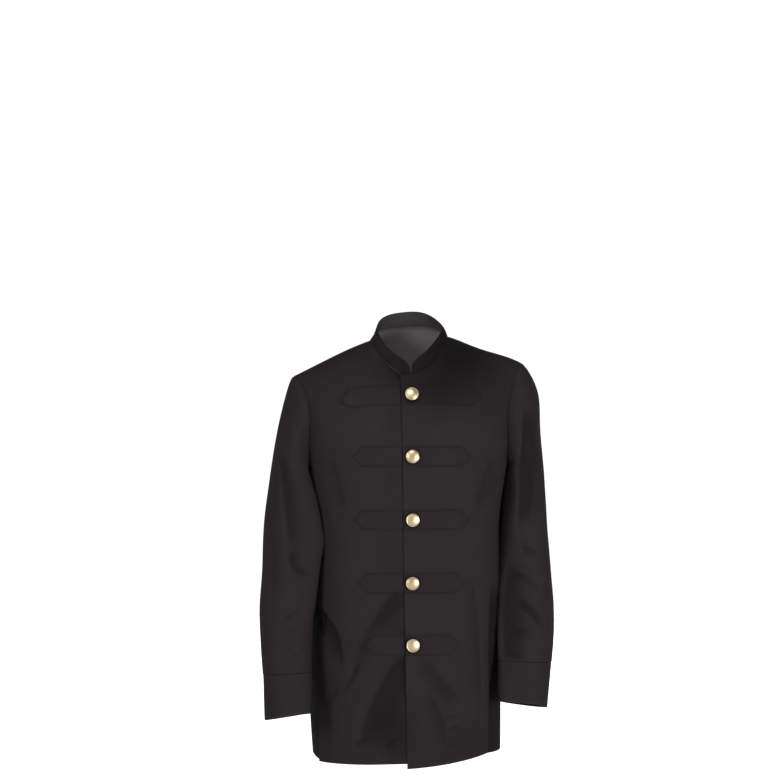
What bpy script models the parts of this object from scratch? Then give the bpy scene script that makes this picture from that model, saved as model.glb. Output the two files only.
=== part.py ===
"""Head waiter jacket, filled out as when it is worn, with no wearer inside.

A hip-length black jacket with a stand collar, five brass shank buttons down the
centre front, a pointed cloth tab on each side of every button, set-in sleeves
with sewn-on cuffs, and side vents.

Metres, +Z up. The front looks along -Y and the wearer's left is +X. The origin
is the middle of the neck, level with the points where the shoulder seams meet
the collar, which is where the wearer's neck and shoulders hold the jacket.
"""

import math

import bpy
import numpy as np
from mathutils import Vector

MM = 0.001
DEGREE = math.pi / 180
QUARTER = math.pi / 2
SIDES = {"left": 1, "right": -1}

# Cloth, and the gaps between pieces that are sewn or lie on each other
CLOTH = 1.5 * MM
FACING_CLOTH = 1.0 * MM
TAB_CLOTH = 1.2 * MM
SEAM_TRIM = 0.4 * MM
SHOULDER_TRIM = 0.8 * MM
SLEEVE_GAP = 0.7 * MM
LAYER_GAP = 0.8 * MM

# Body: heights of the hems and of the lines that the cut is drawn from
CHEST_Z = -0.165
HEM_FRONT = {"left": -0.808, "right": -0.798}
HEM_SIDE = {"left": -0.786, "right": -0.804}
HEM_BACK = -0.792
UNDERARM_LEVEL = -0.075
PANEL_RISE = 0.205

# Neck and shoulders
NECK_HALF_WIDTH = 0.075
NECK_PIT_DEPTH = 0.087
NAPE_DEPTH = 0.064
NAPE_RISE = 0.046
NAPE_FADE = (0.05, 0.14)
NECK_SIDE = {"left": 0.008, "right": 0.002}
SHOULDER_HALF_WIDTH = 0.219
SHOULDER_SPREAD = 0.11
SHOULDER_DROP = {"left": 0.056, "right": 0.073}

# How the panels round over the shoulder: 1 is a quarter ellipse, more is flatter
FRONT_ROUNDING = 1.2
BACK_ROUNDING = 0.85

# Collar
COLLAR_HEIGHT = 0.030
COLLAR_SIDE_HEIGHT = 0.022
COLLAR_TIP = 0.007
COLLAR_ROUND = 0.026
COLLAR_LEAN = {"left": 0.42, "right": 0.38}
COLLAR_RIM = 1.5 * MM
COLLAR_SEAT = 0.9 * MM
FACING_GAP = 0.5 * MM
FACING_ROWS_UNDER_NAPE = 3
FACING_COLUMNS = 3

# Centre front: how far each front reaches past the button line
LEFT_FRONT_EDGE = {"top": 0.021, "hem": 0.011}
UNDERLAP = 0.030
STEP_DOWN = (0.035, 0.085)

# Side vents
VENT_TOP = -0.510
VENT_STEP = 0.006
VENT_UNDERLAP = 0.030
VENT_GAP = 1.8 * MM

# Brass buttons
BUTTON_HEIGHTS = (-0.108, -0.223, -0.342, -0.461, -0.577)
BUTTON_RADIUS = 12.5 * MM
BUTTON_RIM = 2.0 * MM
BUTTON_CROWN = 2.2 * MM
SHANK_RADIUS = 3.0 * MM
SHANK_HEIGHT = 2.6 * MM

# Cloth tabs, one each side of every button, measured from the button line to the point
TAB_HEIGHT = 0.038
TAB_POINT = 0.018
TAB_TIP = 1.0 * MM
TAB_FROM_EDGE = 1.5 * MM
TAB_SEAT = 0.8 * MM
TAB_REACH = (0.132, 0.112, 0.110, 0.102, 0.090)

# Grid sizes of the faceted cloth
ROWS_BELOW_VENT = 10
ROWS_ABOVE_VENT = 8
ROWS_TO_NECK = 7
ROWS_BESIDE_NECK = 7
HALF_COLUMNS = 8
ARMHOLE_STEPS = 10
CAP_ROWS = 7
ARM_ROWS = 9
CUFF_ROWS = 2
TAB_STEPS = 7
BUTTON_STEPS = 16


def table(names, *rows):
    """Named columns from rows of numbers."""
    return dict(zip(names.split(), np.array(rows, float).T))


# Level sections of the body, hem to chest: squareness 2 is an ellipse
TORSO = table(
    "height half_width front_depth back_depth squareness",
    (-0.830, 0.181, 0.137, 0.118, 2.5),
    (-0.740, 0.182, 0.136, 0.121, 2.5),
    (-0.640, 0.182, 0.133, 0.120, 2.5),
    (-0.540, 0.1815, 0.127, 0.114, 2.5),
    (-0.440, 0.1775, 0.122, 0.108, 2.4),
    (-0.340, 0.1785, 0.123, 0.110, 2.4),
    (-0.240, 0.193, 0.124, 0.117, 2.4),
    (-0.165, 0.200, 0.119, 0.120, 2.5),
)

# Where each side seam lies, in degrees round from the centre front
SIDE_SEAM = {
    "left": table(
        "height angle", (-0.830, 56), (-0.640, 57), (-0.510, 61), (-0.380, 76), (-0.240, 90)
    ),
    "right": table(
        "height angle", (-0.830, 70), (-0.640, 70), (-0.510, 73), (-0.380, 82), (-0.240, 90)
    ),
}

# Armhole edge from the underarm to the shoulder point: degrees from the centre
# line of that face, and metres along the panel from the chest line
ARMHOLE_FRONT = table(
    "angle level",
    (90, -0.075),
    (82, -0.071),
    (75, -0.052),
    (70, -0.020),
    (68, 0.020),
    (68.5, 0.065),
    (70.5, 0.110),
    (74.5, 0.160),
    (79, 0.205),
)
ARMHOLE_BACK = table(
    "angle level",
    (90, -0.075),
    (83, -0.070),
    (76, -0.048),
    (72, -0.012),
    (71, 0.030),
    (71, 0.075),
    (72.5, 0.120),
    (75.5, 0.165),
    (79, 0.205),
)

# Sleeve sections from the upper arm to the cuff's edge: how far the inner and the
# outer edge of each sleeve lie from the middle of the body, and how far back its
# middle lies. Pitch and roll tilt the section with the bend of the forearm
SLEEVE = table(
    "height left_in left_out right_in right_out left_y right_y half_depth pitch roll",
    (-0.270, 0.1930, 0.2665, 0.1930, 0.2660, 0.006, -0.004, 0.071, 0, 0),
    (-0.340, 0.1800, 0.2730, 0.1805, 0.2760, 0.014, -0.016, 0.068, 0, 0),
    (-0.430, 0.1795, 0.2770, 0.1805, 0.2820, 0.012, -0.026, 0.064, 6, 1),
    (-0.520, 0.1815, 0.2815, 0.1835, 0.2885, -0.012, -0.040, 0.059, 14, 2),
    (-0.590, 0.1815, 0.2785, 0.1840, 0.2865, -0.040, -0.058, 0.055, 19, 4),
    (-0.632, 0.1810, 0.2730, 0.1840, 0.2820, -0.058, -0.070, 0.052, 20, 6),
    (-0.714, 0.1750, 0.2610, 0.1920, 0.2780, -0.090, -0.098, 0.048, 20, 8),
)
SLEEVE_SHIFT = {"left": 0.012, "right": -0.008}
CUFF_EASE = 0.985

# How the sleeve leaves the armhole: share round from the underarm (0) over the
# front (0.25) and the shoulder (0.5), its direction there and how far it keeps it
SLEEVE_CAP = table(
    "share out forward down left_reach right_reach",
    (0.00, 0.35, 0.00, 0.94, 0.06, 0.06),
    (0.12, 0.55, 0.40, 0.75, 0.10, 0.09),
    (0.25, 0.75, 0.45, 0.55, 0.13, 0.11),
    (0.38, 0.82, 0.28, 0.50, 0.14, 0.09),
    (0.50, 0.85, 0.00, 0.53, 0.15, 0.07),
    (0.62, 0.82, -0.28, 0.50, 0.14, 0.09),
    (0.75, 0.75, -0.45, 0.55, 0.13, 0.11),
    (0.88, 0.55, -0.40, 0.75, 0.10, 0.09),
    (1.00, 0.35, 0.00, 0.94, 0.06, 0.06),
)
ARM_PULL = 0.75

# Largest folds: a straight trough from one end to the other on the front view.
# A negative depth is a ridge
FOLDS = {
    "front_left": table(
        "x0 z0 x1 z1 width depth",
        (0.020, -0.610, 0.085, -0.740, 0.018, 0.0025),
    ),
    "front_right": table(
        "x0 z0 x1 z1 width depth",
        (-0.020, -0.495, -0.105, -0.650, 0.020, 0.0035),
        (-0.020, -0.630, -0.115, -0.775, 0.018, 0.0045),
        (-0.168, -0.520, -0.125, -0.650, 0.018, 0.0040),
        (-0.045, -0.600, -0.135, -0.740, 0.018, -0.0030),
    ),
    "sleeve_left": table(
        "x0 z0 x1 z1 width depth",
        (0.200, -0.408, 0.240, -0.414, 0.010, 0.0035),
        (0.214, -0.515, 0.250, -0.550, 0.010, 0.0035),
    ),
    "sleeve_right": table(
        "x0 z0 x1 z1 width depth",
        (-0.236, -0.250, -0.218, -0.440, 0.010, 0.0050),
        (-0.218, -0.440, -0.196, -0.465, 0.008, 0.0045),
    ),
}


def through(stations, values, at):
    """Smooth curve through the values: cubic Hermite with the mean slope at each station."""
    slopes = np.gradient(values, stations)
    at = np.clip(at, stations[0], stations[-1])
    i = np.clip(np.searchsorted(stations, at, side="right") - 1, 0, len(stations) - 2)
    span = stations[i + 1] - stations[i]
    t = (at - stations[i]) / span
    start = (2 * t**3 - 3 * t**2 + 1) * values[i] + (t**3 - 2 * t**2 + t) * span * slopes[i]
    end = (3 * t**2 - 2 * t**3) * values[i + 1] + (t**3 - t**2) * span * slopes[i + 1]
    return start + end


def fade(value, start, end):
    """0 at the start, 1 at the end, with a smooth step between."""
    t = np.clip((value - start) / (end - start), 0, 1)
    return t * t * (3 - 2 * t)


def signed_power(value, power):
    return np.sign(value) * np.abs(value) ** power


def unit(vectors):
    return vectors / np.linalg.norm(vectors, axis=-1, keepdims=True)


# The body surface


def body_section(height):
    """Half width, front depth, back depth and the power of the level section at a height."""
    columns = ("half_width", "front_depth", "back_depth", "squareness")
    wide, front, back, square = (through(TORSO["height"], TORSO[c], height) for c in columns)
    return wide, front, back, 2 / square


def by_side(values, x):
    """The value for the wearer's left or right, blended over the middle."""
    left = fade(x, -0.05, 0.05)
    return values["right"] * (1 - left) + values["left"] * left


def shoulder_line(x, level, front):
    """Height of the shoulder over x: level inside the neck, where the back rises to the nape,
    then a straight fall to the shoulder point."""
    share = (np.abs(x) - NECK_HALF_WIDTH) / (SHOULDER_HALF_WIDTH - NECK_HALF_WIDTH)
    arch = np.clip(1 - (x / NECK_HALF_WIDTH) ** 2, 0, 1) ** 0.75
    nape = np.where(front, 0.0, NAPE_RISE * arch * fade(level, *NAPE_FADE))
    return by_side(NECK_SIDE, x) + nape - by_side(SHOULDER_DROP, x) * np.maximum(share, 0)


def torso(angle, level):
    """Outer surface of the body.

    The angle runs round from the centre front, a quarter turn at the side. The
    level is metres up the panel from the chest line. Above it the section leans
    in over the shoulder, and reaches the shoulder seam at PANEL_RISE.
    """
    height = CHEST_Z + np.minimum(level, 0)
    turn = np.clip(level / PANEL_RISE, 0, 1) * QUARTER
    wide, front_depth, back_depth, power = body_section(height)
    front = np.cos(angle) > 0
    rounding = np.where(front, FRONT_ROUNDING, BACK_ROUNDING)
    depth = np.where(front, front_depth, back_depth)
    x = wide * (1 + SHOULDER_SPREAD * np.sin(turn) ** 2) * signed_power(np.sin(angle), power)
    y = -depth * signed_power(np.cos(angle), power) * np.abs(np.cos(turn)) ** rounding
    z = height + (shoulder_line(x, level, front) - CHEST_Z) * np.sin(turn) ** rounding
    return np.stack([x, y, z], -1)


def outward(angle, level):
    """Unit normal of the body, from the surface a small step either way."""
    step = 0.002
    low = np.minimum(level, PANEL_RISE - 2 * step)
    around = torso(angle + step, low) - torso(angle - step, low)
    up = torso(angle, low + step) - torso(angle, low - step)
    return unit(np.cross(around, up))


def angle_at(x, level):
    """Angle of the point on the front that has this x."""
    height = CHEST_Z + np.minimum(level, 0)
    turn = np.clip(level / PANEL_RISE, 0, 1) * QUARTER
    wide, _, _, power = body_section(height)
    ratio = np.clip(x / (wide * (1 + SHOULDER_SPREAD * np.sin(turn) ** 2)), -1, 1)
    return np.arcsin(signed_power(ratio, 1 / power))


def level_at(height):
    """Level of the point on the centre front at this height."""
    share = np.clip((height - CHEST_Z) / -CHEST_Z, 0, 1)
    above = np.arcsin(share ** (1 / FRONT_ROUNDING)) / QUARTER * PANEL_RISE
    return np.where(height > CHEST_Z, above, height - CHEST_Z)


# Lines of the cut, as (angle, level)


def even_steps(path, count):
    """The path again, as count points at equal distances on the body."""
    points = torso(path[:, 0], path[:, 1])
    run = np.concatenate([[0], np.cumsum(np.linalg.norm(np.diff(points, axis=0), axis=1))])
    at = np.linspace(0, run[-1], count)
    return np.stack([np.interp(at, run, path[:, k]) for k in range(2)], -1)


def neckline(round_neck, back=False):
    """Left half of the neckline, a half ellipse seen from above: 0 is the centre front or the
    nape, a quarter turn is the shoulder seam. The level is found by going back and forth."""
    x = NECK_HALF_WIDTH * np.sin(round_neck)
    y = (NAPE_DEPTH if back else NECK_PIT_DEPTH) * np.cos(round_neck)
    rounding = BACK_ROUNDING if back else FRONT_ROUNDING
    _, front_depth, back_depth, power = body_section(np.float64(CHEST_Z))
    depth = back_depth if back else front_depth
    level = np.full_like(x, PANEL_RISE / 2)
    for _ in range(30):
        angle = angle_at(x, level)
        share = np.clip(y / (depth * np.cos(angle) ** power), 0, 1)
        level = np.arccos(share ** (1 / rounding)) / QUARTER * PANEL_RISE
    return np.stack([math.pi - angle if back else angle, level], -1)


def armhole(back=False):
    """Left armhole edge of the front or the back, from the underarm to the shoulder point."""
    edge = ARMHOLE_BACK if back else ARMHOLE_FRONT
    rows = np.arange(len(edge["angle"]), dtype=float)
    at = np.linspace(0, rows[-1], 61)
    angle = through(rows, edge["angle"], at) * DEGREE
    return np.stack([math.pi - angle if back else angle, through(rows, edge["level"], at)], -1)


def front_edge(side, height):
    """How far past the button line a front's edge lies: the left front's moves in to the hem."""
    if side == "right":
        return np.full_like(height, UNDERLAP)
    share = height / HEM_FRONT["left"]
    return LEFT_FRONT_EDGE["top"] * (1 - share) + LEFT_FRONT_EDGE["hem"] * share


def low_shares():
    """Shares of the way from the hem to the underarm, one for each row, with two rows
    close together where the vents end."""
    hem = (HEM_SIDE["left"] + HEM_SIDE["right"]) / 2
    length = CHEST_Z + UNDERARM_LEVEL - hem
    vent, step = (VENT_TOP - hem) / length, VENT_STEP / length
    below = np.linspace(0, vent - step, ROWS_BELOW_VENT)
    return np.concatenate([below, np.linspace(vent + step, 1, ROWS_ABOVE_VENT)])


def levels_from(hem):
    return (hem - CHEST_Z) + (UNDERARM_LEVEL - (hem - CHEST_Z)) * low_shares()


def panel_grid(inner, outer_low, armhole_edge):
    """Grid of a panel: each row runs straight in (angle, level) from the inner to the outer edge.
    The lower half of the armhole faces the rows up to the neck, the upper half those beside it."""
    middle = len(armhole_edge) // 2
    lower = even_steps(armhole_edge[: middle + 1], ROWS_TO_NECK + 1)[1:]
    upper = even_steps(armhole_edge[middle:], ROWS_BESIDE_NECK + 1)[1:]
    outer = np.concatenate([outer_low, lower, upper])
    share = np.linspace(0, 1, HALF_COLUMNS + 1)[None, :, None]
    return inner[:, None, :] * (1 - share) + outer[:, None, :] * share


def neck_edge(back=False):
    """Points of the left half of the neckline where the rows of a panel end."""
    return even_steps(neckline(np.linspace(0, QUARTER, 60), back), ROWS_BESIDE_NECK + 1)


# Folds and seams


def fold_depth(x, z, folds):
    """Sum of the folds at (x, z): each a trough with a bell-shaped section that dies out at its ends."""
    total = np.zeros_like(x)
    for x0, z0, x1, z1, width, depth in zip(*folds.values()):
        length = math.hypot(x1 - x0, z1 - z0)
        along = ((x - x0) * (x1 - x0) + (z - z0) * (z1 - z0)) / length**2
        off = ((x - x0) * (z1 - z0) - (z - z0) * (x1 - x0)) / length
        ends = fade(along, -0.08, 0.22) * (1 - fade(along, 0.78, 1.08))
        total += depth * np.exp(-((off / width) ** 2)) * ends
    return total


def trimmed(points):
    """A panel's points with its side edge and shoulder seam drawn in, which leaves the seam's gap."""
    points[:, -1] += SEAM_TRIM * unit(points[:, -2] - points[:, -1])
    points[-1] += SHOULDER_TRIM * unit(points[-2] - points[-1])
    return points


# Panels


def right_front_sink(points):
    """Depth of the right front under the body surface: it passes under the left one."""
    near, far = STEP_DOWN
    return (CLOTH + LAYER_GAP) * fade(points[..., 0], -far, -near)


def front_points(side):
    """Grid of one front, from its front edge to the side seam and the armhole."""
    sign = SIDES[side]
    low_level = levels_from(HEM_FRONT[side])
    neck = neck_edge()
    high_level = np.linspace(UNDERARM_LEVEL, neck[0, 1], ROWS_TO_NECK)
    edge_level = np.concatenate([low_level, high_level[1:]])
    edge_angle = angle_at(-front_edge(side, edge_level + CHEST_Z), edge_level)
    side_level = levels_from(HEM_SIDE[side])
    seam = SIDE_SEAM[side]
    side_angle = through(seam["height"], seam["angle"], side_level + CHEST_Z) * DEGREE
    grid = panel_grid(
        np.concatenate([np.stack([edge_angle, edge_level], -1), neck]),
        np.stack([side_angle, side_level], -1),
        armhole(),
    )
    angle, level = sign * grid[..., 0], grid[..., 1]
    points = torso(angle, level)
    inward = fold_depth(points[..., 0], points[..., 2], FOLDS[f"front_{side}"])
    if side == "right":
        underlap = fold_depth(points[..., 0], points[..., 2], FOLDS["front_left"])
        inward = inward + underlap + right_front_sink(points)
    return trimmed(points - outward(angle, level) * inward[..., None])


def half_back_grid(side):
    """Angles, levels and depth under the surface of half the back, from the centre back to the
    side seam and the armhole. Below the vent's top the outer edge steps in and reaches forward
    under the front."""
    sign = SIDES[side]
    low_level = levels_from(HEM_BACK)
    side_level = levels_from(HEM_SIDE[side])
    neck = neck_edge(back=True)
    seam = SIDE_SEAM[side]
    side_angle = through(seam["height"], seam["angle"], side_level + CHEST_Z) * DEGREE
    in_vent = np.arange(len(side_level)) < ROWS_BELOW_VENT
    side_angle = side_angle - in_vent * VENT_UNDERLAP / body_section(np.float64(HEM_BACK))[0]
    high_level = np.linspace(UNDERARM_LEVEL, neck[0, 1], ROWS_TO_NECK + 1)
    centre_level = np.concatenate([low_level, high_level[1:]])
    centre = np.stack([np.full_like(centre_level, math.pi), centre_level], -1)
    grid = panel_grid(
        np.concatenate([centre, neck[1:]]), np.stack([side_angle, side_level], -1), armhole(back=True)
    )
    angle, level = sign * grid[..., 0], grid[..., 1]
    sink = np.zeros(grid.shape[:2])
    near_side = fade(np.linspace(0, 1, HALF_COLUMNS + 1), 0.5, 0.8)
    sink[: ROWS_BELOW_VENT + 1] = (CLOTH + VENT_GAP) * near_side
    x, _, z = np.moveaxis(torso(angle, level), -1, 0)
    sink += fold_depth(x, z, FOLDS[f"front_{side}"]) * fade(np.cos(angle), 0, 0.25)
    return angle, level, sink


def closed_on_centre(points):
    """Half-back points with those on the centre line exactly on it, so that the halves weld."""
    points[np.abs(points[..., 0]) < 0.1 * MM, 0] = 0
    return points


def half_back_points(side):
    angle, level, sink = half_back_grid(side)
    return closed_on_centre(trimmed(torso(angle, level) - outward(angle, level) * sink[..., None]))


def half_facing_points(side):
    """Grid of half the facing inside the back neck: the part of the back round the neckline,
    moved in by the cloth and a gap."""
    first = -ROWS_BESIDE_NECK - 1 - FACING_ROWS_UNDER_NAPE
    part_of = (slice(first, -1), slice(0, FACING_COLUMNS + 1))
    angle, level, _ = (values[part_of] for values in half_back_grid(side))
    points = torso(angle, level) - outward(angle, level) * (CLOTH + FACING_GAP)
    neck = slice(FACING_ROWS_UNDER_NAPE, None)
    step = unit(points[neck, 1] - points[neck, 0])
    points[neck, 0] += step * FACING_CLOTH * [0, 1, 1]
    return closed_on_centre(points)


# Sleeves and cuffs


def sleeve_section(side, height, share):
    """Points of a tilted ellipse round the arm, by share round from the body side over the front."""
    columns = (f"{side}_in", f"{side}_out", f"{side}_y", "half_depth", "pitch", "roll")
    inner, outer, y, half_depth, pitch, roll = (
        through(-SLEEVE["height"], SLEEVE[c], -height)[..., None] for c in columns
    )
    x, half_width = (inner + outer) / 2, (outer - inner) / 2
    out = -half_width * np.cos(share * 2 * math.pi)
    forward = half_depth * np.sin(share * 2 * math.pi)
    pitch, roll = pitch * DEGREE, roll * DEGREE
    rise = forward * np.sin(pitch) - out * np.sin(roll)
    level = height[..., None] + SLEEVE_SHIFT[side]
    return np.stack(
        [SIDES[side] * (x + out * np.cos(roll)), y - forward * np.cos(pitch), level + rise], -1
    )


def sleeve_shares():
    return np.arange(2 * ARMHOLE_STEPS) / (2 * ARMHOLE_STEPS)


def sleeve_points(side):
    """Grid of a sleeve, from the armhole to the cuff seam, closed round each row.

    The cap is a Hermite curve from each point of the armhole to the upper arm's
    section, which leaves along SLEEVE_CAP and arrives along the arm.
    """
    sign = SIDES[side]
    share = sleeve_shares()
    front = even_steps(armhole(), ARMHOLE_STEPS + 1)
    back = even_steps(armhole(back=True), ARMHOLE_STEPS + 1)
    loop = np.concatenate([front[:-1], back[:0:-1]])
    angle, level = sign * loop[:, 0], loop[:, 1]
    columns = ("out", "forward", "down", f"{side}_reach")
    out, forward, down, reach = (through(SLEEVE_CAP["share"], SLEEVE_CAP[c], share) for c in columns)
    lead = unit(np.stack([sign * out, -forward, -down], -1))
    start = torso(angle, level) + lead * SLEEVE_GAP + outward(angle, level) * SEAM_TRIM
    top = SLEEVE["height"][0]
    rings = sleeve_section(side, np.array([top, top - 0.02]), share)
    end, arrive = rings[0], unit(rings[1] - rings[0])
    t = np.linspace(0, 1, CAP_ROWS + 1)[:, None, None]
    pull = reach[:, None]
    cap = (
        (2 * t**3 - 3 * t**2 + 1) * start
        + (t**3 - 2 * t**2 + t) * lead * pull
        + (3 * t**2 - 2 * t**3) * end
        + (t**3 - t**2) * arrive * pull * ARM_PULL
    )
    heights = np.linspace(top, SLEEVE["height"][-2], ARM_ROWS + 1)[1:]
    points = np.concatenate([cap, sleeve_section(side, heights, share)])
    radial = points - points.mean(axis=1, keepdims=True)
    radial[..., 2] = 0
    radial = unit(radial)
    front_half = fade(-radial[..., 1], 0.0, 0.5)
    inward = fold_depth(points[..., 0], points[..., 2], FOLDS[f"sleeve_{side}"]) * front_half
    return points - radial * inward[..., None]


def cuff_points(side):
    """Grid of a cuff, from just below the sleeve's end to the opening."""
    start, end = SLEEVE["height"][-2:]
    rings = sleeve_section(side, np.linspace(start, end, CUFF_ROWS + 1), sleeve_shares())
    middle = rings.mean(axis=1, keepdims=True)
    rings = middle + (rings - middle) * CUFF_EASE
    rings[0] += unit(middle[-1] - middle[0]) * 2 * SEAM_TRIM
    return rings


# Collar


def neck_ring():
    """Points of the neckline from the centre front round the left, the nape and the right, with
    one more halfway along each straight stretch."""
    left = np.concatenate([neck_edge(), neck_edge(back=True)[-2::-1]])
    ring = np.concatenate([left, left[-2::-1] * [-1, 1]])
    points = torso(ring[:, 0], ring[:, 1])
    fine = np.empty((2 * len(points) - 1, 3))
    fine[::2] = points
    fine[1::2] = (points[1:] + points[:-1]) / 2
    return fine


def collar_points(inset, rim):
    """Grid of one layer of the stand collar. It rises from the neckline and leans in to the
    neck, and its front corners are quarter ellipses."""
    base = neck_ring()
    base[0, 0] += SEAM_TRIM
    base[-1, 0] -= SEAM_TRIM
    run = np.concatenate([[0], np.cumsum(np.linalg.norm(np.diff(base, axis=0), axis=1))])
    from_end = np.minimum(run, run[-1] - run)
    near_end = np.clip(1 - from_end / COLLAR_ROUND, 0, 1)
    beside = (base[:, 0] / NECK_HALF_WIDTH) ** 4
    full = COLLAR_HEIGHT + (COLLAR_SIDE_HEIGHT - COLLAR_HEIGHT) * beside
    height = COLLAR_TIP + (full - COLLAR_TIP) * np.sqrt(1 - near_end**2) - rim
    inward = unit(-base * [1, 1, 0])
    up = unit(inward * by_side(COLLAR_LEAN, base[:, 0])[:, None] + [0, 0, 1])
    across = unit(inward - up * np.sum(inward * up, axis=1, keepdims=True))
    foot = base + across * (inset + SEAM_TRIM) + up * COLLAR_SEAT
    return np.stack([foot, foot + up * height[:, None]])


# Tabs


def tab_points(side, height, reach):
    """Grid of one tab: a flat strip that narrows to a point, on the front it is sewn to."""
    start = front_edge("left", np.float64(height))
    start = (-start if side == "left" else start) + TAB_FROM_EDGE
    shoulder = reach - TAB_POINT
    x = np.concatenate([np.linspace(start, shoulder, TAB_STEPS), [(shoulder + reach) / 2, reach]])
    half = np.clip((reach - x) / TAB_POINT, 0, 1) * TAB_HEIGHT / 2
    rise = np.linspace(-1, 1, 3)[:, None] * np.maximum(half, TAB_TIP)
    level = level_at(height + rise)
    angle = SIDES[side] * angle_at(np.broadcast_to(x, level.shape), level)
    points = torso(angle, level)
    lift = np.full(level.shape, TAB_SEAT + TAB_CLOTH)
    lift -= fold_depth(points[..., 0], points[..., 2], FOLDS[f"front_{side}"])
    if side == "right":
        lift -= right_front_sink(points)
    return points + outward(angle, level) * lift[..., None]


# Making the pieces


def material(name, colour, roughness, metallic=0.0):
    made = bpy.data.materials.new(name)
    made.use_nodes = True
    shader = made.node_tree.nodes["Principled BSDF"]
    shader.inputs["Base Color"].default_value = (*colour, 1)
    shader.inputs["Roughness"].default_value = roughness
    shader.inputs["Metallic"].default_value = metallic
    return made


def grid_faces(rows, columns, closed, flip):
    """Quads of a grid of points, joined round each row where closed."""
    wide = columns if closed else columns - 1
    row, column = np.meshgrid(np.arange(rows - 1), np.arange(wide), indexing="ij")
    a = row * columns + column
    b = row * columns + (column + 1) % columns
    faces = np.stack([a, b, b + columns, a + columns], -1).reshape(-1, 4)
    return faces[:, ::-1] if flip else faces


def cloth_piece(name, grids, thickness, finish, closed=False):
    """Grids of points on the outer face, welded where they meet, thickened inwards into a wall.
    Each grid comes with whether its faces have to be turned over to look outwards."""
    points, faces = [], []
    for grid, flip in grids:
        first = sum(len(p) for p in points)
        faces += (grid_faces(*grid.shape[:2], closed, flip) + first).tolist()
        points.append(grid.reshape(-1, 3))
    mesh = bpy.data.meshes.new(name)
    mesh.from_pydata(np.concatenate(points).tolist(), [], faces)
    mesh.materials.append(finish)
    mesh.shade_smooth()
    piece = bpy.data.objects.new(name, mesh)
    jacket.objects.link(piece)
    if len(grids) > 1:
        weld = piece.modifiers.new("centre_back", "WELD")
        weld.merge_threshold = 0.01 * MM
    wall = piece.modifiers.new("wall", "SOLIDIFY")
    wall.thickness = thickness
    wall.offset = -1
    wall.use_even_offset = True
    wall.use_quality_normals = True


def button(name, height, finish):
    """A turned brass button: a low dome with a rolled rim, on a round shank."""
    face = SHANK_HEIGHT + BUTTON_RIM
    profile = [
        (0, face + BUTTON_CROWN),
        (BUTTON_RADIUS * 0.45, face + BUTTON_CROWN * 0.82),
        (BUTTON_RADIUS * 0.80, face + BUTTON_CROWN * 0.30),
        (BUTTON_RADIUS * 0.95, face),
        (BUTTON_RADIUS, face - BUTTON_RIM * 0.4),
        (BUTTON_RADIUS * 0.96, SHANK_HEIGHT),
        (SHANK_RADIUS, SHANK_HEIGHT),
        (SHANK_RADIUS, 0),
        (0, 0),
    ]
    mesh = bpy.data.meshes.new(name)
    edges = [(i, i + 1) for i in range(len(profile) - 1)]
    mesh.from_pydata([(r, 0, z) for r, z in profile], edges, [])
    mesh.materials.append(finish)
    piece = bpy.data.objects.new(name, mesh)
    jacket.objects.link(piece)
    turned = piece.modifiers.new("turned", "SCREW")
    turned.steps = turned.render_steps = BUTTON_STEPS
    turned.use_merge_vertices = True
    turned.merge_threshold = 0.01 * MM
    level = level_at(np.float64(height))
    normal = outward(np.float64(0.0), level)
    seat = TAB_SEAT + TAB_CLOTH + 2 * SEAM_TRIM
    piece.location = Vector(torso(np.float64(0.0), level) + normal * seat)
    piece.rotation_mode = "QUATERNION"
    piece.rotation_quaternion = Vector(normal).to_track_quat("Z", "Y")


for old in list(bpy.data.objects):
    bpy.data.objects.remove(old)
jacket = bpy.data.collections.new("head_waiter_jacket")
bpy.context.scene.collection.children.link(jacket)

black_twill = material("black_twill", (0.020, 0.017, 0.018), 0.75)
black_tab_cloth = material("black_tab_cloth", (0.023, 0.020, 0.021), 0.65)
grey_facing = material("grey_facing", (0.056, 0.048, 0.051), 0.70)
pale_brass = material("pale_brass", (0.80, 0.66, 0.40), 0.30, 1.0)

# Back, in one piece: its halves are welded on the centre line below the nape
cloth_piece(
    "back", [(half_back_points("left"), True), (half_back_points("right"), False)], CLOTH, black_twill
)

for side in SIDES:
    right = side == "right"
    cloth_piece(f"front_{side}", [(front_points(side), right)], CLOTH, black_twill)
    cloth_piece(f"sleeve_{side}", [(sleeve_points(side), not right)], CLOTH, black_twill, closed=True)
    cloth_piece(f"cuff_{side}", [(cuff_points(side), not right)], CLOTH, black_twill, closed=True)
    for number, (height, reach) in enumerate(zip(BUTTON_HEIGHTS, TAB_REACH), 1):
        tab = [(tab_points(side, height, reach), right)]
        cloth_piece(f"tab_{side}_{number}", tab, TAB_CLOTH, black_tab_cloth)

cloth_piece("collar", [(collar_points(0, 0), False)], CLOTH, black_twill)
collar_inset = CLOTH + SEAM_TRIM
cloth_piece(
    "collar_facing", [(collar_points(collar_inset, COLLAR_RIM), False)], FACING_CLOTH, grey_facing
)
cloth_piece(
    "back_neck_facing",
    [(half_facing_points("left"), True), (half_facing_points("right"), False)],
    FACING_CLOTH,
    grey_facing,
)

for number, height in enumerate(BUTTON_HEIGHTS, 1):
    button(f"button_{number}", height, pale_brass)
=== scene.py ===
import math

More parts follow.
